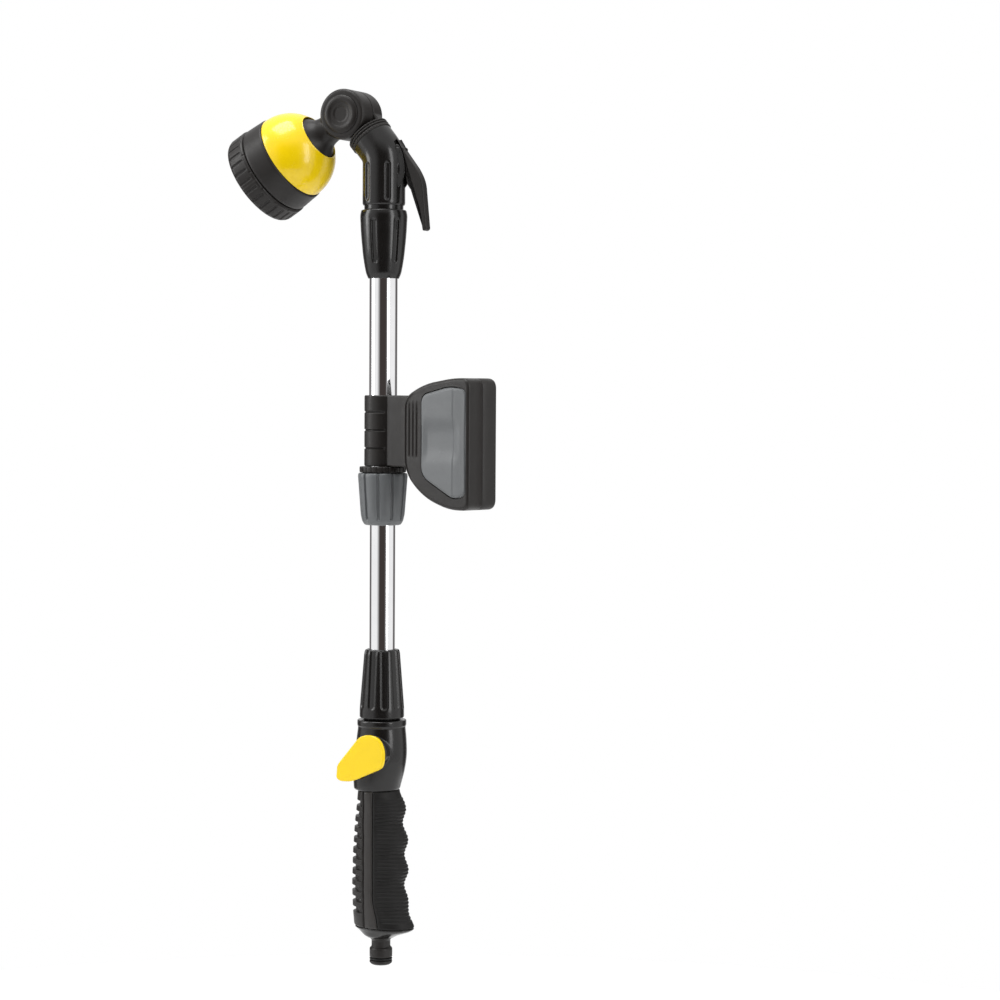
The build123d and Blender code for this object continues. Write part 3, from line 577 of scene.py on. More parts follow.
def shell_patch(edges, low, high, outside, depth, across_count, up_count):
    """Closed thick patch of the grip's wall between two edges, given as angles at each height."""
    heights = np.linspace(low, high, up_count)
    share, height = np.meshgrid(np.linspace(0, 1, across_count), heights)
    first, last = edges(height)
    angle = first + (last - first) * share
    outer = outside(angle, height)
    inner = np.minimum(outer, grip_radius(angle, height)) - depth
    front = np.stack([outer * np.cos(angle), outer * np.sin(angle), height], -1)
    back = np.stack([inner * np.cos(angle), inner * np.sin(angle), height], -1)[:, ::-1]
    return stack_mesh(np.concatenate([front, back], 1))


def edge_drop(angle, height, angle_low, angle_high, low, high, width, depth):
    """How far a patch's rim rolls inwards near its four edges."""
    reach = 19.0
    side = np.minimum(angle - angle_low, angle_high - angle) * reach
    end = np.minimum(height - low, high - height)
    near = np.clip(1 - np.minimum(side, end) / width, 0, 1)
    return depth * near ** 2.4


def rubber_edge(height):
    """Half angle of the finger rubber, which narrows towards the foot."""
    return FOOT_TURN + (PANEL_TURN - FOOT_TURN) * smooth_step(GRIP_LOW, GRIP_LOW + 26, height)


def grip_rubber():
    """Finger side: waves with fine ribs across them."""
    low, high = GRIP_LOW + 0.2, GRIP_HIGH - 0.2

    def outside(angle, height):
        edge = rubber_edge(height)
        ribs = 0.5 + 0.5 * np.cos(2 * pi * height / 2.9)
        window = smooth_step(edge - radians(7), edge - radians(17), np.abs(angle))
        window = window * smooth_step(low + 3, low + 6, height) * smooth_step(high - 4, high - 8, height)
        drop = edge_drop(angle, height, -edge, edge, low, high, 1.6, 1.0)
        return grip_radius(angle, height) - 0.7 * window * (1 - ribs ** 0.6) - drop

    part = shell_patch(lambda z: (-rubber_edge(z), rubber_edge(z)), low, high, outside, 3.5, 96, 460)
    piece("grip_rubber", part, "grip_rubber", "lower", None, 60)


def side_panel(side, node):
    """Smooth band between the rubber and the spine."""
    gap = radians(1.1)
    low, high = GRIP_LOW + 0.2, GRIP_HIGH - 0.4

    def edges(height):
        return rubber_edge(height) + gap, SPINE_TURN + 0 * height

    def outside(angle, height):
        first, last = edges(height)
        drop = edge_drop(angle, height, first, last, low, high, 1.3, 0.8)
        crease = 0.3 * np.exp(-(((angle - (first + last) / 2) * 19) / 3.6) ** 2)
        return grip_radius(angle, height) - 0.25 + crease - drop

    verts, faces = shell_patch(edges, low, high, outside, 3.0, 44, 180)
    piece(node, (verts * np.array([1, side, 1]), faces), "panel_charcoal", "lower", None, 60)


def spine_insert():
    """Back of the grip with a row of slots."""
    a0, a1 = SPINE_TURN + radians(1.1), 2 * pi - SPINE_TURN - radians(1.1)
    low, high = GRIP_LOW + 0.2, GRIP_HIGH - 0.2
    pitch = 8.4

    def outside(angle, height):
        phase = np.abs((height - 43.6 + pitch / 2) % pitch - pitch / 2)
        slot = smooth_step(2.3, 1.7, phase) * smooth_step(radians(64), radians(60), np.abs(angle - pi))
        slot = slot * smooth_step(low + 8, low + 9, height) * smooth_step(high - 5, high - 6, height)
        drop = edge_drop(angle, height, a0, a1, low, high, 1.6, 1.0)
        depth = 2.4 - 0.8 * smooth_step(radians(38), radians(48), np.abs(angle - pi))
        return grip_radius(angle, height) - depth * slot - drop

    part = shell_patch(lambda z: (a0 + 0 * z, a1 + 0 * z), low, high, outside, 3.6, 120, 460)
    piece("spine_insert", part, "black_satin", "lower", None, 50)


def oval_stack(sections, segments=180):
    """Closed solid through level ovals, each (height, front reach, back reach, side reach)."""
    angles = np.linspace(0, 2 * pi, segments, endpoint=False)
    rows = []
    for z, front, back, side in sections:
        across = (front - back) / 2 + (front + back) / 2 * np.cos(angles)
        rows.append(np.stack([across, side * np.sin(angles), np.full(segments, float(z))], 1))
    return stack_mesh(rows, True)


def eased_sections(sections, step=1.0):
    """More sections between the given ones, on smooth curves through them."""
    table = np.array(sections, float)
    heights = table[:, 0]
    wanted = np.unique(np.append(np.arange(heights[0], heights[-1], step), heights))
    slopes = np.gradient(table[:, 1:], heights, axis=0)
    place = np.clip(np.searchsorted(heights, wanted, "right") - 1, 0, len(heights) - 2)
    span = (heights[place + 1] - heights[place])[:, None]
    t = (wanted - heights[place])[:, None] / span
    start, end = table[place, 1:], table[place + 1, 1:]
    curve = ((2 * t ** 3 - 3 * t ** 2 + 1) * start + (t ** 3 - 2 * t ** 2 + t) * span * slopes[place]
             + (3 * t ** 2 - 2 * t ** 3) * end + (t ** 3 - t ** 2) * span * slopes[place + 1])
    return np.hstack([wanted[:, None], curve])


def valve_housing():
    """Hard body of the handle: foot, core inside the grip, bulging housing, its flange and lever boss."""
    low, high = limits("handle_core")
    front, back, side = (float(reach) for reach in grip_reach(GRIP_LOW))
    foot = oval_stack([(low.z, 10.6, 10.6, 10.6), (low.z + 0.6, 11.6, 11.6, 11.4), (23.4, 13.9, 13.9, 12.9),
                       (27.5, front - 3.0, back - 3.2, side - 1.6),
                       (GRIP_LOW - 0.8, front - 0.5, back - 0.5, side - 0.4),
                       (GRIP_LOW, front - 0.7, back - 0.7, side - 0.6)])
    core = oval_stack([(GRIP_LOW - 1, 11.0, 16.0, 11.5), (GRIP_HIGH + 1, 11.0, 16.0, 11.5)])
    bulge = [(GRIP_HIGH + 0.6, 14.0, 22.2, 18.0), (141, 14.6, 22.4, 18.3), (152, 17.8, 22.8, 19.0),
             (165, 19.8, 21.6, 19.6), (177, 19.5, 19.9, 19.3), (188.4, 18.4, 18.4, 18.4)]
    housing = oval_stack(np.vstack([[(GRIP_HIGH - 0.3, 12.8, 21.0, 17.2)], eased_sections(bulge)]))
    flange_line = [(0, 187.9), (18.8, 187.9), (19.2, 188.6), (19.2, 192.6), (18.6, 193), (0, 193)]
    flange = lathe_mesh(dense(rounded(flange_line, 0.6, 3), 1.5), 180)
    throat = lathe_mesh([(0, 190), (14, 190), (14, high.z - 20), (0, high.z - 20)], 96)
    boss_points = [(0, 0), (12.6, 0), (12.6, 20.3), (0, 20.3)]
    boss = placed(lathe_mesh(rounded(boss_points, 0.8, 3), 96), axes(LEVER, (1, 0, 0), (0, -1, 0)))
    part = join_meshes(foot, core, housing, flange, throat, boss)
    made = piece("handle_core", part, "black_gloss", "lower")
    blended(made, 0.6, 4)


def hose_plug():
    """Snap coupling plug with its seal groove, head and waist."""
    head = (limits("hose_plug")[1].x - limits("hose_plug")[0].x) / 2 - 0.3
    outline = [(5.0, 0.3), (5.4, 0), (7.3, 0), (head, 1.5), (head, 3.2), (7.7, 3.3), (7.7, 5.9), (head, 6.0),
               (head, 12.3), (8.3, 13.4), (7.4, 14.1), (7.4, 19.2), (9.0, 21.2), (9.2, 22), (9.2, 33),
               (5.0, 33)]
    profile = rounded(outline, 0.5, 4, True)
    piece("hose_plug", lathe_mesh(dense(profile, 1.5, True), 120), "black_satin", "lower")


LEVER_OUTLINE = [(-30.2, -21.4), (-29.2, -10.8), (-9.6, 12.2), (-1.5, 14.4), (8, 12.2), (12.6, 4), (12.6, -6),
                 (10.6, -11.4), (-16.8, -23.6), (-27, -23.6)]


def flow_lever():
    """Yellow thumb lever on the near side, whose end turns round the housing's back."""
    face = limits("flow_lever")[0].y
    inner = face + 3.0
    outline = rounded(LEVER_OUTLINE, [3, 3, 9, 9, 7, 8, 8, 5, 5, 3], 7, True)
    turn = Matrix.Translation(LEVER)
    arm = slab_mesh(dense(outline, 1.2, True), soft_layers(face, inner, 0.9))
    tail = rounded([(-30.1, -20.4), (-30.1, -11.4), (-27.1, -11.4), (-27.1, -20.4)], 1.2, 5, True)
    pad = slab_mesh(dense(tail, 0.8, True), soft_layers(face + 0.8, face + 13.8, 1.1))
    made = piece("flow_lever", join_meshes(arm, pad), "yellow", "flow", turn)
    blended(made, 0.35, 3)


# -------------------------------------------------------------------------------- neck and trigger


def neck_collar():
    low, high = limits("neck_collar")
    base, top = low.z, high.z
    outline = [(11.3, base), (11.9, base), (13.7, base + 4), (16.0, base + 16), (17.9, base + 36),
               (18.4, top - 4), (17.4, top), (11.3, top)]
    profile = dense(rounded(outline, [0.3, 0.6, 2.5, 8, 8, 3.5, 1.0, 0.3], 6, True), 0.9, True)

    def slots(angle, radius, height):
        cut = capsule(angle, radius, height, 6, 2.9, base + 11, top - 6.5, radians(33))
        return np.where(radius > 11.6, radius - 1.3 * cut, radius)

    piece("neck_collar", lathe_mesh(profile, 400, slots), "black_gloss", "upper")


NECK_R = 16.6
NECK_FOOT, BEND_Z = limits("neck_collar")[1].z + 3.5, 625.0
NECK_BEND = radians(40)
BEND_R, BEND_RUN = 20.0, 8.6


def neck_frames():
    """Centre points and directions along the neck, from its foot up to the union."""
    marks = [(Vector((0, 0, z)), Vector((0, 0, 1))) for z in np.arange(NECK_FOOT, BEND_Z, 0.8)]
    for turn in np.linspace(0, NECK_BEND, 26):
        centre = Vector((-BEND_R + BEND_R * cos(turn), 0, BEND_Z + BEND_R * sin(turn)))
        marks.append((centre, Vector((-sin(turn), 0, cos(turn)))))
    last, way = marks[-1]
    marks += [(last + way * step, way) for step in (1.5, 3.0, 4.5, 6.0, BEND_RUN)]
    return marks


UNION_FOOT, UNION_WAY = neck_frames()[-1]
UNION = axes(UNION_FOOT, (0, 1, 0), UNION_WAY)


HUB_R, EAR_HALF, TRIGGER_HALF = 4.2, 1.9, 3.8
GUARD_OUTLINE = [(10, 638), (15.2, 640), (18.6, 634), (21.2, 623), (20.6, 613), (17.0, 607.5), (13, 604)]
GUARD_FACES = (4.3, 5.6)
PLUNGER_Z = 620


def neck_body():
    """Bent neck with shallow slots in its upright stretch, pockets for the trigger's hub, caps on the
    trigger's pin, a thin guard on each side of the trigger and a hood round the plunger's gland nut."""
    marks = neck_frames()
    segments = 240
    angles = np.linspace(0, 2 * pi, segments, endpoint=False)
    rows = []
    for centre, way in marks:
        side = Vector((0, 1, 0)).cross(way)
        heights = np.full(segments, centre.z)
        cut = capsule(angles, NECK_R, heights, 6, 2.6, NECK_FOOT + 3, BEND_Z + 1, radians(9))
        cut = cut * (np.abs((angles + pi) % (2 * pi) - pi) > radians(30))
        step = (centre - marks[0][0]).length
        radius = NECK_R - 1.0 * cut - 0.8 * max(0.0, 1 - step / 1.6) ** 2
        rows.append(np.array(centre)[None, :] + np.outer(radius * np.cos(angles), np.array(side))
                    + np.outer(radius * np.sin(angles), (0, 1, 0)))
    root_low, root_high = NECK_FOOT - 3.6, NECK_FOOT + 1
    root_line = [(0, root_low), (15.2, root_low), (15.2, root_high), (0, root_high)]
    root = lathe_mesh(dense(rounded(root_line, 0.3, 2), 2.0), 120)
    part = join_meshes(stack_mesh(rows, True), root)
    made = piece("neck_body", part, "black_gloss", "upper", None, 45)
    added = []
    guard_line = dense(rounded(GUARD_OUTLINE, [1, 3, 6, 5, 4, 4, 1], 6, True), 1.0, True)
    cap_line = rounded([(0, 4.4), (2.9, 4.4), (2.9, 5.9), (0, 5.9)], 0.7, 4)
    pocket_r, pocket_end = HUB_R + 0.5, TRIGGER_HALF + 0.4
    pocket = lathe_mesh([(0, EAR_HALF), (pocket_r, EAR_HALF), (pocket_r, pocket_end), (0, pocket_end)], 64)
    for side in (-1, 1):
        pin_end = axes(TRIGGER, (1, 0, 0), (0, side, 0))
        added.append(placed(lathe_mesh(cap_line, 48), pin_end))
        low, high = sorted(side * face for face in GUARD_FACES)
        added.append(slab_mesh(guard_line, soft_layers(low, high, 0.55)))
        cut_away(made, placed(pocket, pin_end))
    hood = rounded([(2.8, 9), (7.4, 9), (7.4, 16.3), (2.8, 16.3)], 0.5, 3, True)
    added.append(placed(lathe_mesh(hood, 64), axes((0, 0, PLUNGER_Z), (0, 1, 0), (1, 0, 0))))
    add_solid(made, join_meshes(*added))
    finish_piece(made, "black_gloss", "upper", ["neck_body"], 45)


def union_ring():
    """Stack of thin flanges with knurled rims."""
    outline = [(12.3, 0), (17.1, 0), (17.4, 0.3), (17.4, 2.1), (16.2, 2.5), (16.2, 3.0), (17.4, 3.3),
               (17.4, 4.4), (16.2, 4.7), (16.2, 5.1), (17.4, 5.4), (17.4, 6.3), (17.1, 6.6), (12.3, 6.6)]
    profile = dense(rounded(outline, 0.35, 3, True), 0.8, True)

    def knurl(angle, radius, height):
        return np.where(radius > 16.9, radius - 0.4 * (0.5 - 0.5 * np.cos(40 * angle)) ** 3, radius)

    piece("union_ring", lathe_mesh(profile, 480, knurl), "black_satin", "upper", UNION)


TRIGGER_BACK = [(12.4, 643.6), (15.2, 639.8), (31.4, 619.0), (35.9, 609.6), (39.4, 573.6), (36.2, 572.2)]
TRIGGER_BACK_R = [0.4, 4, 9, 12, 1.7, 1.7]
TRIGGER_OUTLINE = TRIGGER_BACK + [(33.2, 590), (28.4, 601.4), (22.4, 607.8), (20.8, 616), (18.8, 626),
                                  (18.0, 634), (15.4, 639)]
TRIGGER_WEB = TRIGGER_BACK + [(33.7, 588), (34.7, 597.5), (33.4, 609.4), (29.6, 617.4), (16.6, 634.6),
                              (14.8, 638.4)]


def trigger_lever():
    """Rear trigger: a channel with a rounded back, a hub that straddles the neck's ear and a thin tip."""
    half, room = TRIGGER_HALF, EAR_HALF + 0.4
    cheek = dense(rounded(TRIGGER_OUTLINE, TRIGGER_BACK_R + [22, 9, 5, 6, 6, 4, 1], 8, True), 1.2, True)
    rim = soft_layers(-half, half, 0.9, 4)
    near = slab_mesh(cheek, rim[:len(rim) // 2] + [(-room, 0)])
    far = slab_mesh(cheek, [(room, 0)] + rim[len(rim) // 2:])
    web_line = dense(rounded(TRIGGER_WEB, TRIGGER_BACK_R + [22, 4, 9, 9, 2, 1], 8, True), 1.2, True)
    web = slab_mesh(web_line, [(-room, 0), (room, 0)])
    nub_line = rounded([(20.6, 613.5), (20.6, 626), (26, 623), (32, 615.6), (32, 613.5)], 0.8, 4, True)
    nub = slab_mesh(nub_line, [(-room, 0), (room, 0)])
    hub_line = rounded([(0, room), (HUB_R, room), (HUB_R, half), (0, half)], 0.4, 3)
    hubs = [placed(lathe_mesh(hub_line, 64), axes(TRIGGER, (1, 0, 0), (0, side, 0))) for side in (-1, 1)]
    arm_points = [(14.6, 630.2), (19.4, 627), (19.2, 636.5), (16.5, 638.2), (14.0, 638.2)]
    arm_line = rounded(arm_points, 0.8, 4, True)
    arms = []
    for side in (-1, 1):
        low, high = sorted((side * room, side * half))
        arms.append(slab_mesh(arm_line, soft_layers(low, high, 0.4, 3)))
    part = join_meshes(near, far, web, nub, *hubs, *arms)
    piece("trigger_lever", part, "black_satin", "trigger", None, 32)


# -------------------------------------------------------------------------------- knuckle and head

DRUM_R = 19.7
DRUM_NEAR = 16.5
DRUM_FAR = 16.5


def knuckle_housing():
    """Fixed half of the knuckle with its throat down to the union."""
    drum_points = [(0, -DRUM_FAR), (DRUM_R, -DRUM_FAR), (DRUM_R, -0.4), (0, -0.4)]
    drum_line = rounded(drum_points, [0.5, 4.5, 0.7, 0.5], 6)
    drum = placed(lathe_mesh(dense(drum_line, 1.5), 144), NEAR_SIDE)
    throat_line = rounded([(-13.5, 0), (12.0, 0), (12.0, 16), (-13.5, 16)], 3.0, 4, True)
    above_union = UNION @ Matrix.Translation((0, 0, 6.3)) @ swap_axes()
    throat = placed(slab_mesh(throat_line, soft_layers(0.6, 11.6, 2.0)), above_union)
    neck = placed(lathe_mesh(rounded([(0, 3), (14.5, 3), (14.5, 6.85), (0, 6.85)], 0.4, 3), 96), UNION)
    made = piece("knuckle_housing", join_meshes(drum, throat, neck), "black_satin", "upper")
    blended(made, 0.55, 4)


def swap_axes():
    """Turns a slab drawn in X and Z, thick in Y, so that its Y is the union frame's X."""
    return Matrix(((0, 1, 0, 0), (1, 0, 0, 0), (0, 0, 1, 0), (0, 0, 0, 1)))


def head_elbow():
    """Turning half of the knuckle with the flared stem of the head."""
    drum_points = [(0, 0.35), (DRUM_R, 0.35), (DRUM_R, DRUM_NEAR), (0, DRUM_NEAR)]
    drum_line = rounded(drum_points, [0.5, 0.7, 3.2, 0.5], 6)
    drum = placed(lathe_mesh(dense(drum_line, 1.5), 144), NEAR_SIDE)
    stem_points = [(0, 10), (11.0, 10), (11.2, 20), (12.0, 25), (14.6, 29.0), (17.9, 32.0), (18.2, 33.8),
                   (18.0, 36), (0, 36)]
    stem_line = rounded(stem_points, [0.5, 1, 2, 3, 3, 1.2, 0.8, 0.5, 0.5], 5)
    stem = placed(lathe_mesh(dense(stem_line, 1.0), 144), HEAD)
    made = piece("head_elbow", join_meshes(drum, stem), "black_satin", "head")
    blended(made, 0.55, 4)
    cover = lathe_mesh([(0, -30), (DRUM_R + 0.8, -30), (DRUM_R + 0.8, -0.35), (0, -0.35)], 128)
    cut_away(made, placed(cover, NEAR_SIDE))
    finish_piece(made, "black_satin", "head", ["head_elbow"], 50)


def pivot_cap():
    """Ringed cover over the knuckle's screw."""
    face = DRUM_NEAR
    outline = [(0, face - 1.6), (10.3, face - 1.6), (10.4, face - 0.2), (14.6, face - 0.2),
               (14.9, face + 0.6), (13.4, face + 1.5), (11.8, face + 1.9), (10.4, face + 1.75),
               (9.0, face + 1.0), (6.4, face + 0.7), (5.5, face + 0.2), (0, face + 0.1)]
    profile = dense(rounded(outline, 0.9, 5), 0.6)
    piece("pivot_cap", lathe_mesh(profile, 144), "black_satin", "head", NEAR_SIDE)


DOME_CENTRE, DOME_R, DOME_HIGH, BAND_HIGH, DIAL_HIGH = 60.5, 34.9, 60.2, 78.4, 95.0
DOME_MOUTH_R = 18.4


def dome_shell():
    """Glossy part sphere, thin-walled, with a rolled lip where the stem enters."""
    starts = np.arcsin(DOME_MOUTH_R / DOME_R)
    ends = pi / 2 + np.arcsin((DOME_HIGH - DOME_CENTRE - 0.4) / DOME_R)
    outer_angles = np.linspace(starts + 0.03, ends, 46)
    outer = [(DOME_R * sin(a), DOME_CENTRE - DOME_R * cos(a)) for a in outer_angles]
    inner_r = DOME_R - 2.4
    inner_angles = np.linspace(outer_angles[-1] - 0.01, np.arcsin(DOME_MOUTH_R / inner_r) + 0.02, 30)
    inner = [(inner_r * sin(a), DOME_CENTRE - inner_r * cos(a)) for a in inner_angles]
    mouth = DOME_CENTRE - np.sqrt(DOME_R ** 2 - DOME_MOUTH_R ** 2)
    lip = [(18.35, mouth + 3.4), (18.35, mouth + 0.9), (18.55, mouth + 0.2), (18.9, mouth + 0.05)]
    rim = [(outer[-1][0] - 0.3, DOME_HIGH), (inner[0][0], DOME_HIGH)]
    profile = np.array(lip + outer + rim + inner)
    piece("dome_shell", lathe_mesh(profile, 240), "yellow", "head", HEAD, 50)


def head_band():
    """Smooth black band behind the dial, with a shadow line at each end."""
    floor = DIAL_HIGH - 21.0
    outline = [(0, floor), (33.2, floor), (33.2, DOME_HIGH + 0.2), (34.7, DOME_HIGH + 0.2),
               (35.7, DOME_HIGH + 1.1), (36.7, BAND_HIGH - 2.0), (36.5, BAND_HIGH - 0.5), (35.6, BAND_HIGH),
               (33.6, BAND_HIGH), (33.6, floor + 2.4), (5.2, floor + 2.4), (5.2, floor + 12), (0, floor + 12)]
    profile = dense(rounded(outline, 0.8, 4), 1.2)
    piece("head_band", lathe_mesh(profile, 240), "black_satin", "head", HEAD)


def dial_ring():
    """Grip ring of the spray dial: rounded ribs, with a row of short slots at the back."""
    base, top = BAND_HIGH + 0.4, DIAL_HIGH
    outline = [(34.7, base), (36.2, base), (37.5, base + 1.2), (37.5, top - 2.6), (36.3, top - 0.4),
               (35.4, top), (33.5, top), (33.5, top - 3.9), (34.7, top - 4.4)]
    profile = dense(rounded(outline, 0.9, 5, True), 0.55, True)

    def ribs(angle, radius, height):
        outer = smooth_step(35.5, 36.6, radius)
        cut = capsule(angle, radius, height, 30, 1.55, base + 2.6, top - 1.4)
        nick = capsule(angle, radius, height, 15, 1.1, base + 0.2, base + 2.4, radians(6))
        return radius - outer * (0.95 * cut + 0.4 * nick)

    piece("dial_ring", lathe_mesh(profile, 720, ribs), "black_satin", "dial", HEAD)


# ------------------------------------------------------------------------------------------ holder

CASE_CENTRE = (82.0, 410.0)
CASE_HALF = 16.2
BUTTON_FACE = limits("button_far", HOLDER)[1].y
BUTTON_CLEAR = 2.35  # from the pole bushes to the button's back, which is more than its travel


def polar_loop(points, count):
    """A convex outline sampled evenly by angle about the case's centre."""
    pts = np.array(points, float) - CASE_CENTRE
    angle = np.arctan2(pts[:, 1], pts[:, 0]) % (2 * pi)
    order = np.argsort(angle)
    wanted = np.linspace(0, 2 * pi, count, endpoint=False)
    radius = np.interp(wanted, angle[order], np.linalg.norm(pts, axis=1)[order], period=2 * pi)
    return np.stack([radius * np.cos(wanted), radius * np.sin(wanted)], 1) + CASE_CENTRE


def case_outline(count=480):
    corners = [(37.6, 387), (37.6, 445), (58, 455), (88, 459.5), (105.3, 459.5), (105.3, 360), (84, 360),
               (58, 368.5)]
    return polar_loop(dense(rounded(corners, [14, 9, 18, 18, 8, 8, 16, 22], 12, True), 1.0, True), count)


def button_outline(count=480):
    corners = [(57, 385), (57, 446.5), (86, 453), (102, 451), (102, 371), (90, 368.5)]
    return polar_loop(dense(rounded(corners, [8, 6, 12, 5, 5, 7], 12, True), 1.0, True), count)


def shrunk(loop, amount):
    """The loop moved inwards by an amount, or outwards when it is negative."""
    along = np.roll(loop, -1, 0) - np.roll(loop, 1, 0)
    along /= np.linalg.norm(along, axis=1)[:, None]
    return loop + np.stack([-along[:, 1], along[:, 0]], 1) * amount


def holder_shell(side, node):
    """Half of the case as one closed skin that runs round its wall, its face and the button's opening."""
    wall, roll, face_depth = 2.4, 2.6, 2.5
    outer = case_outline()
    window = shrunk(button_outline(), -0.45)
    loops = [(shrunk(outer, wall), 0.05), (shrunk(outer, 0.25), 0.05), (outer, 0.35),
             (outer, CASE_HALF - roll)]
    for a in np.linspace(0.15, pi / 2, 6):
        loops.append((shrunk(outer, roll * (1 - cos(a))), CASE_HALF - roll * (1 - sin(a))))
    face_rim = shrunk(outer, roll)
    for t in np.linspace(0.06, 0.94, 22):
        loops.append((face_rim + (window - face_rim) * t, CASE_HALF))
    loops += [(shrunk(window, -0.35), CASE_HALF), (window, CASE_HALF - 0.35),
              (window, CASE_HALF - face_depth), (shrunk(outer, wall), CASE_HALF - face_depth)]
    rows = []
    for loop, depth in loops:
        depths = np.full(len(loop), float(depth))
        if depth >= CASE_HALF - 0.01:
            lines = sum(np.exp(-((loop[:, 0] - x) / 0.55) ** 2) for x in (43.2, 47.4, 51.6))
            reach = smooth_step(397, 402, loop[:, 1]) * smooth_step(443, 438, loop[:, 1])
            depths -= 0.75 * lines * reach
            depths -= 0.9 * smooth_step(54, 38, loop[:, 0])
        rows.append(np.stack([loop[:, 0], side * depths, loop[:, 1]], 1))
    part = np.vstack(rows), grid_faces(len(rows), len(outer), True, True)
    made = piece(node, part, "black_satin", "holder")
    bore = lathe_mesh([(0, 340), (11.6, 340), (11.6, 480), (0, 480)], 96)
    cut_away(made, placed(bore, Matrix.Translation((POLE_X, 0, 0))), HOLDER)
    arm = slab_mesh(np.array([(30, 390), (42.5, 390), (42.5, 447), (30, 447)], float), [(-8.1, 0), (8.1, 0)])
    cut_away(made, arm, HOLDER)
    if side > 0:
        for x, z in ((47.5, 437.5), (47.5, 393.5)):
            well = lathe_mesh([(0, CASE_HALF - 2.45), (3.1, CASE_HALF - 2.45), (3.1, 20), (0, 20)], 48)
            cut_away(made, placed(well, axes((x, 0, z), (1, 0, 0), (0, 1, 0))), HOLDER)
    finish_piece(made, "black_satin", "holder", [node], 40)


def button(side, node, body):
    """Grey squeeze button with a thumb hollow and a bevelled strip on its pole side."""
    rim = button_outline(360)
    centre = np.array([[82.0, 412.0]])
    steps = np.concatenate([np.linspace(0.04, 0.9, 34), [0.93, 0.955, 0.975, 0.99, 1.0]])
    rows = []
    for t in steps:
        loop = centre + (rim - centre) * t
        margin = (1 - t) * np.linalg.norm(rim - centre, axis=1)
        roll = 1.3 * np.clip(1 - margin / 1.6, 0, 1) ** 2
        strip = 1.1 * smooth_step(89.3, 90.3, loop[:, 0]) * (0.35 + 0.65 * smooth_step(90, 102, loop[:, 0]))
        hollow = 1.5 * np.exp(-(((loop[:, 1] - 412) / 13.0) ** 4)) * smooth_step(97, 88, loop[:, 0])
        hollow = hollow * smooth_step(56, 64, loop[:, 0])
        depth = BUTTON_FACE - roll - strip - hollow
        rows.append(np.stack([loop[:, 0], side * depth, loop[:, 1]], 1))
    back = limits("pole_bushes", HOLDER)[1].y + BUTTON_CLEAR
    rows.append(np.stack([rim[:, 0], np.full(len(rim), side * back), rim[:, 1]], 1))
    piece(node, stack_mesh(rows), "grey", body, None, 50)


def holder_clip():
    """Ribbed C-clip and its arm, drawn as one plan outline that changes with height."""
    low, high = limits("holder_clip", HOLDER)
    base, top = low.z, high.z
    inner, outer = 11.15, 14.5
    mouth = radians(180 - 38)
    arm_half = 8.0
    heights = np.unique(np.concatenate([np.arange(base, top, 0.6), [top]]))
    rows = []
    for z in heights:
        groove = sum(0.95 * np.exp(-((z - mark) / 0.55) ** 4) for mark in (405, 419, 433))
        rim = 0.7 * max(0, 1 - min(z - base, top - z) / 0.8) ** 2
        reach = outer - rim
        root = np.arcsin(arm_half / outer)
        around = np.linspace(root, mouth, 40)
        cut = groove * smooth_step(root + 0.05, root + 0.2, around)
        upper = [(r * cos(a), r * sin(a)) for a, r in zip(around, reach - cut)]
        tip = [((outer + inner) / 2 * cos(mouth + 0.09), (outer + inner) / 2 * sin(mouth + 0.09))]
        bore = [(inner * cos(a), inner * sin(a)) for a in np.linspace(mouth, -mouth, 60)]
        lower = [(x, -y) for x, y in reversed(upper)]
        side = arm_half - rim
        arm = [(18, -side), (26, -side + 0.8), (34, -side + 0.8), (42, -side)]
        arm += [(x, -y) for x, y in reversed(arm)]
        plan = upper + tip + bore + [(x, -y) for x, y in tip] + lower + arm
        rows.append(np.array([(x, y, z) for x, y in plan]))
    piece("holder_clip", stack_mesh(rows, True), "black_satin", "holder", None, 40)


# ----------------------------------------------------------------------------------- build and stage


def dress_cad_nodes():
    """Gives every CAD node that stays its own material and smooth round faces."""
    for part in frame["record"]["subparts"]:
        node = frame["nodes"][part["node"]]
        node.data.materials.clear()
        node.data.materials.append(MATERIALS[part["material_slot"]])
        node.data.shade_smooth()
        node.data.set_sharp_from_angle(angle=radians(30))


def build():
    dress_cad_nodes()
    tube("upper_tube", "upper")
    tube("lower_tube", "lower")
    clamp_nut()
    clamp_flange()
    handle_collar()
    grip_rubber()
    side_panel(-1, "side_panel_near")
    side_panel(1, "side_panel_far")
    spine_insert()
    valve_housing()
    hose_plug()
    flow_lever()
    neck_collar()
    neck_body()
    union_ring()
    trigger_lever()
    knuckle_housing()
    head_elbow()
    pivot_cap()
    dome_shell()
    head_band()
    dial_ring()
    holder_shell(-1, "holder_shell_near")
    holder_shell(1, "holder_shell_far")
    button(-1, "button_near", "button_near")
    button(1, "button_far", "button_far")
    holder_clip()


VIEW_TURN, VIEW_LIFT, VIEW_ROLL = 42.0, 2.5, 0.34
LENS, DISTANCE = 94.0, 2.035
AIM_SIDE, AIM_HEIGHT = 0.0914, 0.365


def add_camera():
    turn, lift = radians(VIEW_TURN), radians(VIEW_LIFT)
    right = Vector((cos(turn), sin(turn), 0))
    target = Vector((AXIS_X, 0, PLUG_TIP + AIM_HEIGHT)) + right * AIM_SIDE
    away = Vector((sin(turn) * cos(lift), -cos(turn) * cos(lift), sin(lift)))
    data = bpy.data.cameras.new("camera")
    data.lens = LENS
    camera = bpy.data.objects.new("camera", data)
    camera.location = target + away * DISTANCE
    roll = Matrix.Rotation(radians(VIEW_ROLL), 4, "Z")
    camera.rotation_euler = ((-away).to_track_quat("-Z", "Y").to_matrix().to_4x4() @ roll).to_euler()
    bpy.context.scene.collection.objects.link(camera)
    bpy.context.scene.camera = camera


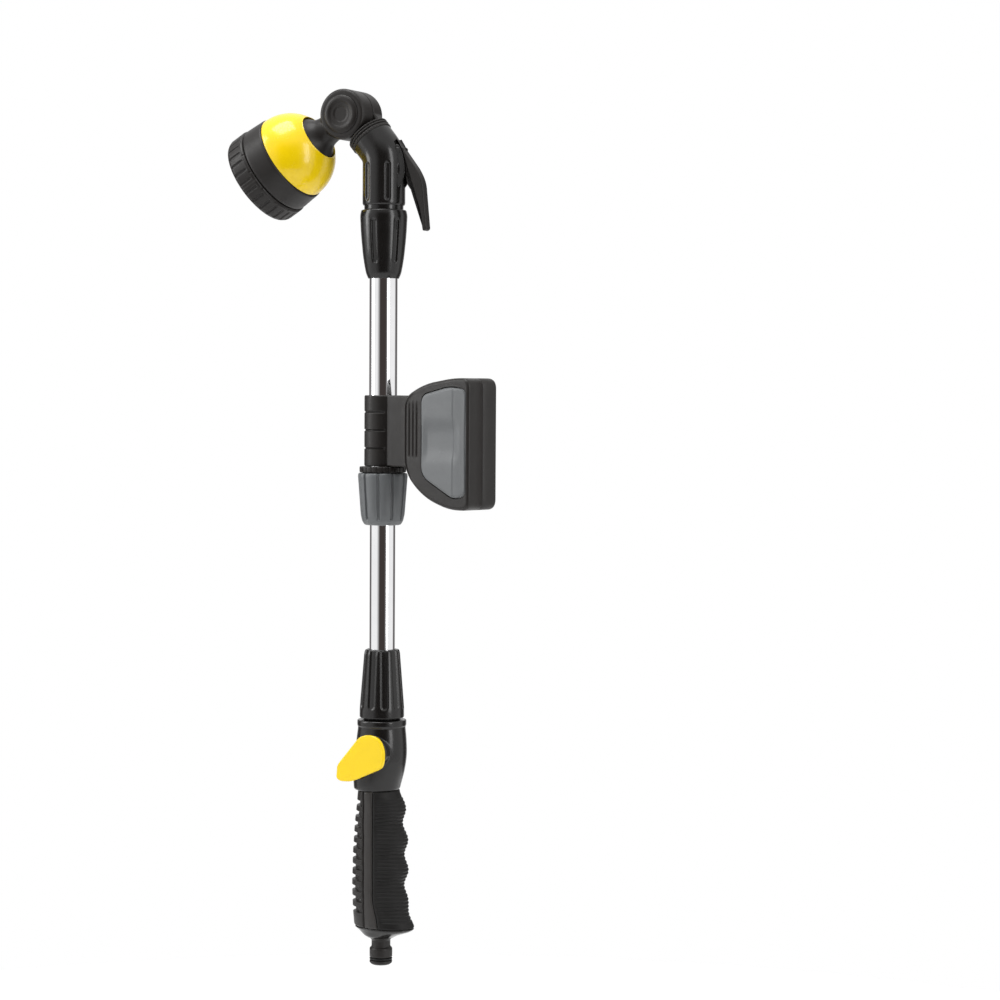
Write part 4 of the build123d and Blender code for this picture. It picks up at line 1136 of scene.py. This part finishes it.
def add_floor():
    """Pale round table top below the plug."""
    mesh = bpy.data.meshes.new("floor")
    radius, drop, count = 1.4, 0.3, 128
    z = PLUG_TIP - drop
    turns = [2 * pi * k / count for k in range(count)]
    ring = [(AXIS_X + radius * cos(turn), radius * sin(turn), z) for turn in turns]
    mesh.from_pydata(ring, [], [tuple(range(count))])
    floor = bpy.data.objects.new("floor", mesh)
    bpy.context.scene.collection.objects.link(floor)
    made, graph, shader, place = material("floor_paint")
    tone = graph.noise(place, 3, 4)
    paint = graph.ramp(tone, [(0.3, (0.86, 0.86, 0.86)), (0.7, (0.9, 0.9, 0.9))])
    graph.link(paint, shader.inputs["Base Color"])
    shader.inputs["Roughness"].default_value = 0.9
    mesh.materials.append(made)


def add_world():
    """White studio all round, with dark flags that the polished tubes mirror."""
    world = bpy.data.worlds.new("studio")
    bpy.context.scene.world = world
    world.use_nodes = True
    world.node_tree.nodes.clear()
    graph = Graph(world.node_tree)
    output = graph.add("ShaderNodeOutputWorld")
    way = graph.add("ShaderNodeTexCoord").outputs["Generated"]
    split = graph.add("ShaderNodeSeparateXYZ")
    graph.link(way, split.inputs["Vector"])
    around = graph.math("ARCTAN2", split.outputs["Y"], split.outputs["X"])
    facing = radians(VIEW_TURN - 90)
    wrapped = graph.math("WRAP", graph.math("SUBTRACT", around, facing), pi)
    wrapped.node.inputs[2].default_value = -pi
    off = graph.math("ABSOLUTE", wrapped, 0)
    share = graph.math("DIVIDE", off, pi)
    dark, light = (0.055, 0.045, 0.042), (1.0, 1.0, 1.0)
    stops = [(0.0, dark), (0.13, dark), (0.27, light), (0.6, light), (0.68, (0.12, 0.11, 0.11)),
             (0.82, (0.12, 0.11, 0.11)), (0.9, (0.8, 0.8, 0.8))]
    band = graph.ramp(share, stops)
    up = graph.levels(split.outputs["Z"], 0.35, 0.7, 0.0, 1.0)
    sky = graph.mix(up, band, (1.0, 1.0, 1.0))
    mirrored = graph.add("ShaderNodeBackground")
    graph.link(sky, mirrored.inputs["Color"])
    mirrored.inputs["Strength"].default_value = 1.0
    seen = graph.add("ShaderNodeBackground")
    seen.inputs["Color"].default_value = (1.0, 1.0, 1.0, 1)
    ray = graph.add("ShaderNodeLightPath").outputs["Is Camera Ray"]
    choose = graph.add("ShaderNodeMixShader")
    graph.link(ray, choose.inputs[0])
    graph.link(mirrored.outputs[0], choose.inputs[1])
    graph.link(seen.outputs[0], choose.inputs[2])
    graph.link(choose.outputs[0], output.inputs["Surface"])


def add_light(name, place, size, power):
    data = bpy.data.lights.new(name, "AREA")
    data.shape = "RECTANGLE"
    data.size, data.size_y = size
    data.energy = power
    lamp = bpy.data.objects.new(name, data)
    lamp.location = Vector(place)
    lamp.rotation_euler = (Vector((AXIS_X, 0, 0)) - Vector(place)).to_track_quat("-Z", "Y").to_euler()
    bpy.context.scene.collection.objects.link(lamp)


build()
bpy.context.scene.view_settings.view_transform = "Standard"
add_camera()
add_floor()
add_world()
add_light("top_softbox", (-0.3, -0.5, 2.0), (1.2, 1.2), 28)
add_light("left_softbox", (-1.6, -1.5, 0.8), (0.7, 1.8), 22)
add_light("right_softbox", (1.9, -0.1, 0.5), (0.5, 1.8), 14)
